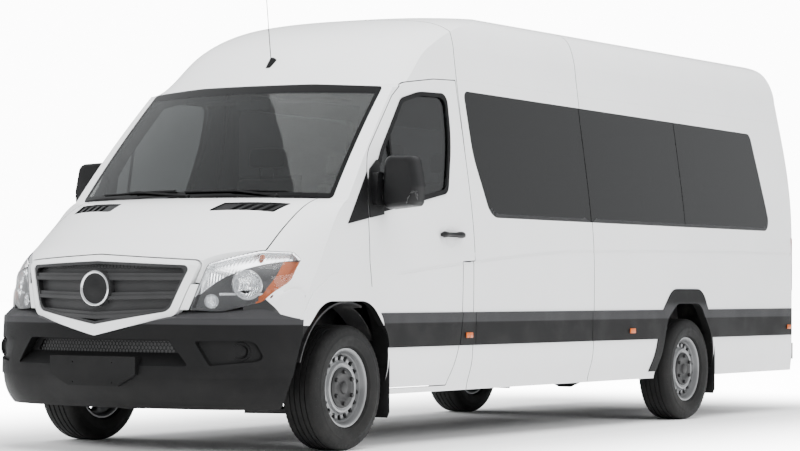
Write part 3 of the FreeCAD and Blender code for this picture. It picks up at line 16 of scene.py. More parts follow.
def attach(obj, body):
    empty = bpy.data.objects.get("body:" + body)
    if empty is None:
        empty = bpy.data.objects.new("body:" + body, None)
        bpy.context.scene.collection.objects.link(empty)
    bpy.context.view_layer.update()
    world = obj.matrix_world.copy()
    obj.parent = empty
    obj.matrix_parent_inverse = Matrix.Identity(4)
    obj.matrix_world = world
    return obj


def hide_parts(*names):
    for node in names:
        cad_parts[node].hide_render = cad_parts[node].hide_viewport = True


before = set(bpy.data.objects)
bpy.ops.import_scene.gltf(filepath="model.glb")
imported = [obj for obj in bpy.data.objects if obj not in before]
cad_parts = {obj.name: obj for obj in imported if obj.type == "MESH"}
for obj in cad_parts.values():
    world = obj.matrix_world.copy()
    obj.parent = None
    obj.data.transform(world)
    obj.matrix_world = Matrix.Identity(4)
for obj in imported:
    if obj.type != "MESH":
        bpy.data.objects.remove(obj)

LOG = logging.getLogger("minibus")
FRONT_AXLE_Y = -2.6345
WHEELBASE = 4.325

Colour = tuple[float, float, float]


class Side(enum.Enum):
    """The two flanks of the vehicle."""

    LEFT = 1
    RIGHT = -1

    @property
    def word(self) -> str:
        """The side's word in node names."""
        return self.name.lower()


class Corner(enum.Enum):
    """The four wheels, by end and side."""

    FRONT_LEFT = ("front", Side.LEFT)
    FRONT_RIGHT = ("front", Side.RIGHT)
    REAR_LEFT = ("rear", Side.LEFT)
    REAR_RIGHT = ("rear", Side.RIGHT)

    @property
    def word(self) -> str:
        """The corner's words in node names."""
        return f"{self.value[0]}_{self.value[1].word}"


class Canvas:
    """A node tree with short calls to add and join nodes."""

    def __init__(self, tree: bpy.types.NodeTree) -> None:
        """Keeps the node tree of a material or a group."""
        self.tree = tree

    def add(self, kind: str, **values: object) -> bpy.types.Node:
        """Adds a node.

        Args:
            kind: Blender's name of the node type.
            values: attributes of the node.

        Returns:
            The new node.
        """
        node = self.tree.nodes.new(kind)
        for name, value in values.items():
            setattr(node, name, value)
        return node

    def feed(self, node: bpy.types.Node, **sockets: object) -> bpy.types.Node:
        """Sets or joins sockets by name, with _ for a blank.

        Args:
            node: the node that takes the values.
            sockets: numbers, colours or output sockets.

        Returns:
            The same node.
        """
        for name, value in sockets.items():
            socket = node.inputs[name.replace("_", " ")]
            if isinstance(value, bpy.types.NodeSocket):
                self.tree.links.new(value, socket)
            else:
                socket.default_value = value
        return node

    def math(
        self, operation: str, first: object, second: object = 0.0, third: object = 0.0,
    ) -> bpy.types.NodeSocket:
        """Adds a math node.

        Args:
            operation: the node's operation.
            first: a number or socket.
            second: a number or socket.
            third: a number or socket, for operations of three values.

        Returns:
            The result's socket.
        """
        node = self.add("ShaderNodeMath", operation=operation)
        for k, value in enumerate((first, second, third)):
            if isinstance(value, bpy.types.NodeSocket):
                self.tree.links.new(value, node.inputs[k])
            else:
                node.inputs[k].default_value = value
        return node.outputs[0]

    def ramp(
        self, value: bpy.types.NodeSocket, low: float, high: float, out_low: float = 0.0,
        out_high: float = 1.0,
    ) -> bpy.types.NodeSocket:
        """Maps a value from one range to another and clamps it.

        Args:
            value: the socket to map.
            low: where the range starts.
            high: where it ends.
            out_low: the result at low.
            out_high: the result at high.

        Returns:
            The result's socket.
        """
        node = self.add("ShaderNodeMapRange", interpolation_type="SMOOTHSTEP")
        self.feed(node, Value=value, From_Min=low, From_Max=high, To_Min=out_low, To_Max=out_high)
        return node.outputs["Result"]

    def blend(self, share: object, low: object, high: object) -> bpy.types.NodeSocket:
        """Mixes two colours.

        Args:
            share: how much of the second, from 0 to 1.
            low: the first colour.
            high: the second colour.

        Returns:
            The mixed colour's socket.
        """
        node = self.add("ShaderNodeMix", data_type="RGBA")
        for index, value in ((0, share), (6, low), (7, high)):
            if isinstance(value, bpy.types.NodeSocket):
                self.tree.links.new(value, node.inputs[index])
            else:
                node.inputs[index].default_value = value if index == 0 else (*value, 1.0)
        return node.outputs[2]

    def place(self) -> bpy.types.NodeSocket:
        """The object's own coordinates."""
        return self.add("ShaderNodeTexCoord").outputs["Object"]

    def noise(
        self, place: bpy.types.NodeSocket, scale: float, detail: float = 3.0, rough: float = 0.5,
    ) -> bpy.types.NodeSocket:
        """Adds a noise.

        Args:
            place: the coordinates.
            scale: waves per metre.
            detail: octaves.
            rough: weight of the finer octaves.

        Returns:
            The noise value's socket.
        """
        node = self.add("ShaderNodeTexNoise")
        self.feed(node, Vector=place, Scale=scale, Detail=detail, Roughness=rough)
        return node.outputs["Fac"]


class EffectGroups:
    """Shader node groups that several finishes share, each built once."""

    built: dict[str, bpy.types.NodeTree] = {}

    @classmethod
    def start(
        cls, name: str, inputs: Sequence[tuple[str, float]], outputs: Sequence[str],
    ) -> tuple[Canvas, bpy.types.Node, bpy.types.Node]:
        """Makes an empty group with its sockets.

        Args:
            name: the group's name.
            inputs: names and default values.
            outputs: names of the values that it gives.

        Returns:
            The canvas, the group's input node and its output node.
        """
        tree = bpy.data.node_groups.new(name, "ShaderNodeTree")
        for label, value in inputs:
            socket = tree.interface.new_socket(name=label, in_out="INPUT", socket_type="NodeSocketFloat")
            socket.default_value = value
        for label in outputs:
            tree.interface.new_socket(name=label, in_out="OUTPUT", socket_type="NodeSocketFloat")
        canvas = Canvas(tree)
        return canvas, canvas.add("NodeGroupInput"), canvas.add("NodeGroupOutput")

    @classmethod
    def grain(cls) -> bpy.types.NodeTree:
        """Leather-like moulded grain: a height and an uneven tone.

        Returns:
            The node group.
        """
        if "grain" not in cls.built:
            canvas, source, sink = cls.start("moulded_grain", [("Scale", 900.0)], ["Height", "Tone"])
            place = canvas.place()
            cells = canvas.add("ShaderNodeTexVoronoi", feature="F1")
            canvas.feed(cells, Vector=place, Scale=source.outputs["Scale"], Randomness=0.9)
            fine = canvas.noise(place, 1400.0, 2.0)
            broad = canvas.noise(place, 3.5, 3.0)
            canvas.feed(
                sink,
                Height=canvas.math("ADD", cells.outputs["Distance"], canvas.math("MULTIPLY", fine, 0.35)),
            )
            canvas.feed(sink, Tone=canvas.ramp(broad, 0.3, 0.7))
            cls.built["grain"] = canvas.tree
        return cls.built["grain"]

    @classmethod
    def road_film(cls) -> bpy.types.NodeTree:
        """Light dust that thins out with height above the road.

        Returns:
            The node group.
        """
        if "film" not in cls.built:
            canvas, source, sink = cls.start("road_film", [("Reach", 0.9), ("Strength", 0.3)], ["Mask"])
            place = canvas.place()
            height = canvas.add("ShaderNodeSeparateXYZ")
            canvas.feed(height, Vector=place)
            share = canvas.math("DIVIDE", height.outputs["Z"], source.outputs["Reach"])
            fall = canvas.ramp(share, 0.1, 1.0, 1.0, 0.0)
            cloud = canvas.ramp(canvas.noise(place, 5.0, 5.0, 0.6), 0.35, 0.72)
            specks = canvas.ramp(canvas.noise(place, 160.0, 2.0), 0.45, 0.75)
            mask = canvas.math(
                "MULTIPLY", fall,
                canvas.math("MULTIPLY_ADD", cloud, 0.75, canvas.math("MULTIPLY", specks, 0.25)),
            )
            canvas.feed(sink, Mask=canvas.math("MULTIPLY", mask, source.outputs["Strength"]))
            cls.built["film"] = canvas.tree
        return cls.built["film"]

    @classmethod
    def weave(cls) -> bpy.types.NodeTree:
        """Flat-woven cloth: crossing threads as a height and a tone.

        Returns:
            The node group.
        """
        if "weave" not in cls.built:
            canvas, source, sink = cls.start("seat_weave", [("Threads", 420.0)], ["Height", "Tone"])
            place = canvas.place()
            axes = canvas.add("ShaderNodeSeparateXYZ")
            canvas.feed(axes, Vector=place)
            run = canvas.math("MULTIPLY", axes.outputs["X"], source.outputs["Threads"])
            rise = canvas.math(
                "MULTIPLY", canvas.math("ADD", axes.outputs["Y"], axes.outputs["Z"]),
                source.outputs["Threads"],
            )
            warp = canvas.math("SINE", canvas.math("MULTIPLY", run, 6.2832))
            weft = canvas.math("SINE", canvas.math("MULTIPLY", rise, 6.2832))
            cross = canvas.math("MULTIPLY", warp, weft)
            tone = canvas.math("MULTIPLY_ADD", cross, 0.35, 0.5)
            canvas.feed(
                sink, Height=canvas.math("ABSOLUTE", cross),
                Tone=canvas.math("ADD", tone, canvas.math("MULTIPLY", canvas.noise(place, 60.0), 0.2)),
            )
            cls.built["weave"] = canvas.tree
        return cls.built["weave"]


@dataclass(frozen=True)
class Finish:
    """A finish of one kind of surface; the kinds below add their own layers."""

    name: str
    colour: Colour
    roughness: float = 0.5
    metallic: float = 0.0
    coat: float = 0.0
    film: float = 0.0
    specular: float = 0.5

    def surface(self) -> tuple[bpy.types.Material, Canvas, bpy.types.Node]:
        """Makes an empty material.

        Returns:
            The material, its canvas and its shader.
        """
        material = bpy.data.materials.new(self.name)
        material.use_nodes = True
        canvas = Canvas(material.node_tree)
        shader = material.node_tree.nodes["Principled BSDF"]
        shader.inputs["Metallic"].default_value = self.metallic
        shader.inputs["Coat Weight"].default_value = self.coat
        shader.inputs["Specular IOR Level"].default_value = self.specular
        material.diffuse_color = (*self.colour, 1.0)
        return material, canvas, shader

    def with_film(
        self, canvas: Canvas, colour: bpy.types.NodeSocket, reach: float = 0.9,
    ) -> bpy.types.NodeSocket:
        """Lays road film over a colour.

        Args:
            canvas: the material's canvas.
            colour: the clean colour.
            reach: height in metres at which the film ends.

        Returns:
            The dusted colour's socket.
        """
        film = canvas.add("ShaderNodeGroup", node_tree=EffectGroups.road_film())
        canvas.feed(film, Reach=reach, Strength=self.film)
        return canvas.blend(film.outputs["Mask"], colour, (0.36, 0.34, 0.31))

    def bump(
        self, canvas: Canvas, shader: bpy.types.Node, height: bpy.types.NodeSocket, depth: float,
    ) -> None:
        """Joins a height to the shader's normal.

        Args:
            canvas: the material's canvas.
            shader: the Principled shader.
            height: the height's socket.
            depth: depth of the relief in metres.
        """
        node = canvas.add("ShaderNodeBump")
        canvas.feed(node, Height=height, Distance=depth, Strength=1.0)
        canvas.feed(shader, Normal=node.outputs["Normal"])

    def make(self) -> bpy.types.Material:
        """Builds the material; each kind of finish does it in its own way."""
        raise NotImplementedError


@dataclass(frozen=True)
class BodyPaint(Finish):
    """Solid white lacquer with a faint orange peel."""

    def make(self) -> bpy.types.Material:
        """Builds the paint.

        Returns:
            The material.
        """
        material, canvas, shader = self.surface()
        place = canvas.place()
        broad = canvas.ramp(canvas.noise(place, 1.6, 2.0), 0.3, 0.7)
        colour = self.with_film(canvas, self.clean(canvas, place), 0.7)
        canvas.feed(
            shader, Base_Color=colour,
            Roughness=canvas.ramp(broad, 0.0, 1.0, self.roughness, self.roughness + 0.05),
        )
        shader.inputs["Coat Roughness"].default_value = 0.04
        self.bump(canvas, shader, canvas.noise(place, 220.0, 1.0), 0.00006)
        return material

    def clean(self, canvas: Canvas, place: bpy.types.NodeSocket) -> bpy.types.NodeSocket:
        """The lacquer's colour without dust, faintly uneven."""
        broad = canvas.ramp(canvas.noise(place, 1.6, 2.0), 0.3, 0.7)
        return canvas.blend(broad, self.colour, tuple(c * 0.965 for c in self.colour))


@dataclass(frozen=True)
class WingPaint(BodyPaint):
    """The white lacquer, with the dark corner that the bumper's end covers under the lamp."""

    slope: float = 1.3
    level: float = -0.041
    dark: Colour = (0.0036, 0.0036, 0.0038)

    def clean(self, canvas: Canvas, place: bpy.types.NodeSocket) -> bpy.types.NodeSocket:
        """The lacquer's colour, dark below a slanted line ahead of the wheel.

        Args:
            canvas: the material's node tree.
            place: the coordinates that the pattern follows.

        Returns:
            The colour's socket.
        """
        axes = canvas.add("ShaderNodeSeparateXYZ")
        canvas.feed(axes, Vector=place)
        back = canvas.math("SUBTRACT", axes.outputs["Y"], FRONT_AXLE_Y)
        line = canvas.math("MULTIPLY_ADD", back, self.slope, axes.outputs["Z"])
        corner = canvas.ramp(line, self.level + 0.0015, self.level - 0.0015)
        return canvas.blend(corner, super().clean(canvas, place), self.dark)


@dataclass(frozen=True)
class MouldedPlastic(Finish):
    """Grained, unpainted moulding."""

    grain_scale: float = 700.0
    grain_depth: float = 0.00025

    def make(self) -> bpy.types.Material:
        """Builds the plastic.

        Returns:
            The material.
        """
        material, canvas, shader = self.surface()
        grain = canvas.add("ShaderNodeGroup", node_tree=EffectGroups.grain())
        canvas.feed(grain, Scale=self.grain_scale)
        lighter = tuple(c * 1.25 + 0.004 for c in self.colour)
        colour = self.with_film(canvas, canvas.blend(grain.outputs["Tone"], self.colour, lighter))
        canvas.feed(shader, Base_Color=colour)
        canvas.feed(
            shader,
            Roughness=canvas.ramp(
                grain.outputs["Tone"], 0.0, 1.0, self.roughness - 0.05, self.roughness + 0.06,
            ),
        )
        self.bump(canvas, shader, grain.outputs["Height"], self.grain_depth)
        return material


@dataclass(frozen=True)
class TrimWithPaintedFacetHighlight(MouldedPlastic):
    """Grained moulding with a painted highlight on its upper facet, where light falls, and a darker tone
    below its face.
    """

    # heights and colour shares: a darker foot, the face, and a crown eight times lighter that is a painted
    # highlight
    steps: tuple[tuple[float, float], ...] = ((0.430, 0.5), (0.705, 1.0), (0.775, 8.0))
    fade: float = 0.05

    def make(self) -> bpy.types.Material:
        """Builds the plastic, with its tone set by height and a painted highlight on the upper facet.

        Returns:
            The material.
        """
        material, canvas, shader = self.surface()
        axes = canvas.add("ShaderNodeSeparateXYZ")
        canvas.feed(axes, Vector=canvas.place())
        grain = canvas.add("ShaderNodeGroup", node_tree=EffectGroups.grain())
        canvas.feed(grain, Scale=self.grain_scale)
        foot, face, crown = (tuple(c * share for c in self.colour) for _, share in self.steps)
        low = canvas.ramp(axes.outputs["Z"], self.steps[0][0] - 0.04, self.steps[0][0] + 0.02)
        high = canvas.ramp(axes.outputs["Z"], self.steps[1][0] - 0.004, self.steps[1][0] + 0.004)
        end = canvas.ramp(axes.outputs["Z"], self.steps[2][0], self.steps[2][0] + self.fade, 1.0, 0.0)
        # painted highlight: the crown colour on the upward facet from 0.705 to 0.775 m stands in for light
        # falling on it
        band = canvas.math("MULTIPLY", high, end)
        colour = canvas.blend(band, canvas.blend(low, foot, face), crown)
        canvas.feed(shader, Base_Color=self.with_film(canvas, colour))
        canvas.feed(
            shader,
            Roughness=canvas.ramp(
                grain.outputs["Tone"], 0.0, 1.0, self.roughness - 0.05, self.roughness + 0.06,
            ),
        )
        self.bump(canvas, shader, grain.outputs["Height"], self.grain_depth)
        return material


@dataclass(frozen=True)
class WheelSilver(Finish):
    """Sprayed wheel: bright flange and disc, with painted shade in the well between them."""

    axles: tuple[float, float] = (FRONT_AXLE_Y, FRONT_AXLE_Y + WHEELBASE)
    height: float = 0.35
    well: tuple[float, float] = (0.170, 0.208)

    def make(self) -> bpy.types.Material:
        """Builds the metal.

        Returns:
            The material.
        """
        material, canvas, shader = self.surface()
        place = canvas.place()
        axes = canvas.add("ShaderNodeSeparateXYZ")
        canvas.feed(axes, Vector=place)
        rise = canvas.math("SUBTRACT", axes.outputs["Z"], self.height)
        reach = []
        for axle in self.axles:
            along = canvas.math("SUBTRACT", axes.outputs["Y"], axle)
            square = canvas.math("MULTIPLY_ADD", along, along, canvas.math("MULTIPLY", rise, rise))
            reach.append(canvas.math("SQRT", square))
        radius = canvas.math("MINIMUM", *reach)
        # painted shade: the well between flange and disc is darkened, by radius from the nearest axle, to
        # stand in for shade in the recess
        inner = canvas.ramp(radius, self.well[0] - 0.004, self.well[0] + 0.004)
        outer = canvas.ramp(radius, self.well[1] + 0.005, self.well[1] - 0.005)
        shade = canvas.math("MULTIPLY", canvas.math("MULTIPLY", inner, outer), 0.72)
        dark = tuple(c * 0.16 for c in self.colour)
        colour = self.with_film(canvas, canvas.blend(shade, self.colour, dark), 0.8)
        fine = canvas.noise(place, 420.0, 3.0)
        canvas.feed(
            shader, Base_Color=colour,
            Roughness=canvas.ramp(fine, 0.3, 0.7, self.roughness - 0.05, self.roughness + 0.06),
        )
        self.bump(canvas, shader, fine, 0.00012)
        return material


@dataclass(frozen=True)
class TintedGlass(Finish):
    """Glass whose tint darkens what is seen through it."""

    ior: float = 1.45

    def make(self) -> bpy.types.Material:
        """Builds the glass.

        Returns:
            The material.
        """
        material, canvas, shader = self.surface()
        place = canvas.place()
        haze = canvas.ramp(canvas.noise(place, 2.5, 4.0), 0.3, 0.8)
        canvas.feed(shader, Base_Color=self.tint(canvas, place))
        canvas.feed(shader, Roughness=canvas.ramp(haze, 0.0, 1.0, self.roughness, self.roughness + 0.015))
        shader.inputs["Transmission Weight"].default_value = 1.0
        shader.inputs["IOR"].default_value = self.ior
        return material

    def tint(self, canvas: Canvas, place: bpy.types.NodeSocket) -> bpy.types.NodeSocket:
        """The glass' colour, faintly uneven."""
        haze = canvas.ramp(canvas.noise(place, 2.5, 4.0), 0.3, 0.8)
        return canvas.blend(haze, self.colour, tuple(c * 0.93 for c in self.colour))


@dataclass(frozen=True)
class ScreenGlass(TintedGlass):
    """Windscreen glass with its printed black border."""

    def tint(self, canvas: Canvas, place: bpy.types.NodeSocket) -> bpy.types.NodeSocket:
        """The glass' colour, black along the edges.

        Args:
            canvas: the material's node tree.
            place: the coordinates that the pattern follows.

        Returns:
            The colour's socket.
        """
        axes = canvas.add("ShaderNodeSeparateXYZ")
        canvas.feed(axes, Vector=place)
        side = canvas.math("ABSOLUTE", axes.outputs["X"])
        height = axes.outputs["Z"]
        edge = canvas.math("MULTIPLY_ADD", canvas.math("SUBTRACT", height, 1.4), -0.0982, 0.858)
        flank = canvas.ramp(canvas.math("SUBTRACT", side, edge), -0.004, 0.004)
        crown = canvas.math("MULTIPLY", canvas.math("MULTIPLY", side, side), -0.021)
        top = canvas.ramp(canvas.math("SUBTRACT", height, crown), 2.035, 2.045)
        foot = canvas.ramp(canvas.math("SUBTRACT", height, crown), 1.452, 1.444)
        border = canvas.math("MAXIMUM", canvas.math("MAXIMUM", flank, top), foot)
        return canvas.blend(border, super().tint(canvas, place), (0.0, 0.0, 0.0))


@dataclass(frozen=True)
class TailLens(TintedGlass):
    """Tail lamp lens in stacked fields of red, amber and clear, with moulded ribs."""

    fields: tuple[tuple[float, Colour], ...] = (
        (0.900, (0.55, 0.012, 0.01)), (0.985, (0.62, 0.62, 0.60)), (1.050, (0.55, 0.012, 0.01)),
        (1.105, (0.75, 0.20, 0.02)), (1.180, (0.55, 0.012, 0.01)),
    )

    def tint(self, canvas: Canvas, place: bpy.types.NodeSocket) -> bpy.types.NodeSocket:
        """The lens' colour by height.

        Args:
            canvas: the material's node tree.
            place: the coordinates that the pattern follows.

        Returns:
            The colour's socket.
        """
        axes = canvas.add("ShaderNodeSeparateXYZ")
        canvas.feed(axes, Vector=place)
        colour = self.fields[0][1]
        for start, shade in self.fields[1:]:
            step = canvas.ramp(axes.outputs["Z"], start - 0.001, start + 0.001)
            colour = canvas.blend(step, colour, shade)
        ribs = canvas.math("SINE", canvas.math("MULTIPLY", axes.outputs["Z"], 900.0))
        return canvas.blend(canvas.ramp(ribs, 0.3, 1.0, 0.0, 0.35), colour, (0.10, 0.01, 0.01))


@dataclass(frozen=True)
class LampHousing(Finish):
    """Dark bezel with bright metallised bowls, a bright upper field and bar, and an amber outer strip."""

    bowls: tuple[tuple[float, float, float, float], ...] = (
        (0.783, -3.3565, 0.920, 0.083), (0.632, -3.4705, 0.828, 0.039),
    )
    bar: tuple[float, float, float] = (0.868, 0.006, 0.672)
    strip: tuple[float, float, float, float] = (1.03, 1.566, 0.836, 1.045)

    def make(self) -> bpy.types.Material:
        """Builds the housing.

        Returns:
            The material.
        """
        material, canvas, shader = self.surface()
        axes = canvas.add("ShaderNodeSeparateXYZ")
        canvas.feed(axes, Vector=canvas.place())
        side = canvas.math("ABSOLUTE", axes.outputs["X"])
        joined = canvas.add("ShaderNodeCombineXYZ")
        canvas.feed(joined, X=side, Y=axes.outputs["Y"], Z=axes.outputs["Z"])
        across = canvas.math("SUBTRACT", side, 0.593)
        line = canvas.math(
            "MULTIPLY_ADD", canvas.math("MULTIPLY", across, across), -1.4,
            canvas.math("ADD", across, 0.876),
        )
        bright = canvas.ramp(canvas.math("SUBTRACT", axes.outputs["Z"], line), -0.002, 0.002)
        for x, y, z, radius in self.bowls:
            gap = canvas.add("ShaderNodeVectorMath", operation="DISTANCE")
            canvas.tree.links.new(joined.outputs["Vector"], gap.inputs[0])
            gap.inputs[1].default_value = (x, y, z)
            bright = canvas.math(
                "MAXIMUM", bright, canvas.ramp(gap.outputs["Value"], radius + 0.001, radius - 0.001),
            )
        bar = canvas.ramp(
            canvas.math("ABSOLUTE", canvas.math("SUBTRACT", axes.outputs["Z"], self.bar[0])),
            self.bar[1] + 0.001, self.bar[1] - 0.001,
        )
        bar = canvas.math("MULTIPLY", bar, canvas.ramp(side, self.bar[2] - 0.001, self.bar[2] + 0.001))
        bright = canvas.math("MAXIMUM", bright, bar)
        back = canvas.math("SUBTRACT", axes.outputs["Y"], FRONT_AXLE_Y)
        edge = canvas.math("MULTIPLY_ADD", back, -self.strip[0], axes.outputs["Z"])
        strip = canvas.ramp(edge, self.strip[1] + 0.001, self.strip[1] - 0.001)
        strip = canvas.math(
            "MULTIPLY", strip, canvas.ramp(side, self.strip[2] - 0.001, self.strip[2] + 0.001),
        )
        strip = canvas.math(
            "MULTIPLY", strip, canvas.ramp(axes.outputs["Z"], self.strip[3], self.strip[3] - 0.002),
        )
        flutes = canvas.math("SINE", canvas.math("MULTIPLY", side, 480.0))
        colour = canvas.blend(bright, self.colour, (0.88, 0.89, 0.90))
        canvas.feed(shader, Base_Color=canvas.blend(strip, colour, (0.42, 0.08, 0.003)))
        bright = canvas.math("MULTIPLY", bright, canvas.math("SUBTRACT", 1.0, strip))
        canvas.feed(shader, Metallic=canvas.math("MULTIPLY", bright, 0.95))
        canvas.feed(shader, Roughness=canvas.ramp(bright, 0.0, 1.0, self.roughness, 0.16))
        self.bump(canvas, shader, canvas.math("MULTIPLY", flutes, bright), 0.0006)
        return material


@dataclass(frozen=True)
class Rubber(Finish):
    """Tyre rubber, browner and duller where it meets the road."""

    def make(self) -> bpy.types.Material:
        """Builds the rubber.

        Returns:
            The material.
        """
        material, canvas, shader = self.surface()
        place = canvas.place()
        mottle = canvas.ramp(canvas.noise(place, 24.0, 5.0, 0.6), 0.3, 0.75)
        colour = self.with_film(
            canvas, canvas.blend(mottle, self.colour, tuple(c * 1.7 for c in self.colour)), 0.8,
        )
        canvas.feed(
            shader, Base_Color=colour,
            Roughness=canvas.ramp(mottle, 0.0, 1.0, self.roughness - 0.08, self.roughness + 0.08),
        )
        self.bump(canvas, shader, canvas.noise(place, 700.0, 3.0), 0.0002)
        return material


@dataclass(frozen=True)
class SprayedMetal(Finish):
    """Painted or bare metal with cloudy wear."""

    wear: Colour = (0.3, 0.28, 0.26)
    wear_share: float = 0.2
    texture: float = 300.0
    depth: float = 0.0002

    def make(self) -> bpy.types.Material:
        """Builds the metal.

        Returns:
            The material.
        """
        material, canvas, shader = self.surface()
        place = canvas.place()
        cloud = canvas.ramp(canvas.noise(place, 9.0, 6.0, 0.65), 0.45, 0.8, 0.0, self.wear_share)
        fine = canvas.noise(place, self.texture, 3.0)
        colour = self.with_film(canvas, canvas.blend(cloud, self.colour, self.wear), 0.8)
        canvas.feed(
            shader, Base_Color=colour,
            Roughness=canvas.ramp(fine, 0.3, 0.7, self.roughness - 0.06, self.roughness + 0.08),
        )
        self.bump(canvas, shader, fine, self.depth)
        return material


@dataclass(frozen=True)
class WovenCloth(Finish):
    """Seat cloth with crossing threads."""

    threads: float = 420.0

    def make(self) -> bpy.types.Material:
        """Builds the cloth.

        Returns:
            The material.
        """
        material, canvas, shader = self.surface()
        weave = canvas.add("ShaderNodeGroup", node_tree=EffectGroups.weave())
        canvas.feed(weave, Threads=self.threads)
        canvas.feed(
            shader,
            Base_Color=canvas.blend(
                weave.outputs["Tone"], self.colour, tuple(c * 1.12 for c in self.colour)
            )
        )
        canvas.feed(
            shader,
            Roughness=canvas.ramp(
                weave.outputs["Tone"], 0.0, 1.0, self.roughness - 0.05, self.roughness + 0.05,
            ),
        )
        shader.inputs["Sheen Weight"].default_value = 0.25
        self.bump(canvas, shader, weave.outputs["Height"], 0.0001)
        return material


class Finishes:
    """Every finish of the vehicle, each made once when it is first asked for."""

    SHEETS: dict[str, Finish] = {
        "white": BodyPaint("white_lacquer", (0.83, 0.835, 0.84), roughness=0.32, coat=0.6, film=0.05),
        "wing": WingPaint("white_lacquer_wing", (0.83, 0.835, 0.84), roughness=0.32, coat=0.6, film=0.05),
        "trim": TrimWithPaintedFacetHighlight(
            "grey_trim", (0.0036, 0.0036, 0.0038), roughness=0.55, film=0.015, specular=0.2,
        ),
        "slat": MouldedPlastic(
            "grey_slats", (0.026, 0.026, 0.0265), roughness=0.4, grain_depth=0.00008, specular=0.3,
        ),
        "black": MouldedPlastic(
            "black_moulding", (0.0045, 0.0045, 0.0048), roughness=0.42, grain_scale=1100.0,
            grain_depth=0.0001, specular=0.25,
        ),
        "gloss_black": MouldedPlastic(
            "gloss_black", (0.003, 0.003, 0.003), roughness=0.2, grain_scale=1400.0, grain_depth=0.00002,
            specular=0.35,
        ),
        # near-black: painted shade on seam walls and in the bonnet vents' recess; also laid in the wheel
        # arches and at the glazed openings' reveals
        "reveal_black_and_seam_shade": MouldedPlastic(
            "black_glass_edge", (0.004, 0.004, 0.004), roughness=0.45, grain_scale=1400.0,
            grain_depth=0.00002, specular=0.2,
        ),
        "headliner": MouldedPlastic(
            "grey_shellliningandshade", (0.045, 0.045, 0.046), roughness=0.85, grain_scale=500.0, specular=0.2,
        ),
        "screen": ScreenGlass("screen_glass", (0.36, 0.375, 0.37), roughness=0.0),
        "door_pane": TintedGlass("door_glass", (0.26, 0.27, 0.27), roughness=0.0),
        "privacy": TintedGlass("privacy_glass", (0.028, 0.028, 0.029), roughness=0.0),
        "lens": TintedGlass("lamp_cover", (0.98, 0.985, 0.99), roughness=0.0, ior=1.3),
        "clear_lens": TintedGlass("signal_lens", (0.85, 0.86, 0.86), roughness=0.08),
        "amber": MouldedPlastic(
            "amber_lens", (0.42, 0.08, 0.003), roughness=0.3, coat=0.1, grain_depth=0.00004,
        ),
        "tail_lens": TailLens("tail_lens", (0.6, 0.02, 0.02), roughness=0.06),
        "housing": LampHousing("lamp_housing", (0.05, 0.05, 0.052), roughness=0.38),
        "chrome": SprayedMetal(
            "bright_metal", (0.78, 0.79, 0.80), roughness=0.14, metallic=1.0, wear=(0.55, 0.55, 0.56),
            wear_share=0.15, depth=0.00002,
        ),
        "silvered": SprayedMetal(
            "mirror_glass", (0.86, 0.87, 0.88), roughness=0.07, metallic=1.0, wear=(0.80, 0.81, 0.82),
            wear_share=0.1, depth=0.000002,
        ),
        "tyre": Rubber("tyre_rubber", (0.0075, 0.0075, 0.0075), roughness=0.68, film=0.03, specular=0.2),
        "rim": WheelSilver("wheel_silver", (0.30, 0.305, 0.31), roughness=0.36, metallic=0.55, film=0.03),
        "hub": SprayedMetal(
            "hub_grey", (0.012, 0.012, 0.0125), roughness=0.45, film=0.01, wear_share=0.015,
        ),
        "chassis": SprayedMetal("chassis_black", (0.015, 0.015, 0.016), roughness=0.6, film=0.15),
        "cast": SprayedMetal("cast_iron", (0.10, 0.098, 0.095), roughness=0.62, metallic=0.6, film=0.2),
        "exhaust": SprayedMetal(
            "dull_steel", (0.30, 0.285, 0.27), roughness=0.48, metallic=0.9, film=0.2,
        ),
        "cabin": MouldedPlastic("cabin_trim", (0.016, 0.016, 0.017), roughness=0.62, grain_scale=900.0),
        "cloth": WovenCloth("seat_cloth", (0.020, 0.0205, 0.022), roughness=0.88, threads=650.0),
    }
    SLOTS: dict[str, str] = {
        "white": "body_paint", "trim": "dark_plastic", "black": "black_gloss",
        "gloss_black": "black_gloss", "headliner": "cabin_trim",
        "clear_lens": "lamp_lens", "amber": "lamp_lens", "chrome": "lamp_housing",
        "silvered": "lamp_housing",
        "tyre": "tyre", "hub": "wheel_silver", "chassis": "chassis_black", "cabin": "cabin_trim",
        "cloth": "seat_cloth",
    }
    made: dict[str, bpy.types.Material] = {}

    @classmethod
    def get(cls, name: str) -> bpy.types.Material:
        """The material of that short name.

        Args:
            name: a key of SHEETS.

        Returns:
            The material.
        """
        if name not in cls.made:
            cls.made[name] = cls.SHEETS[name].make()
        return cls.made[name]


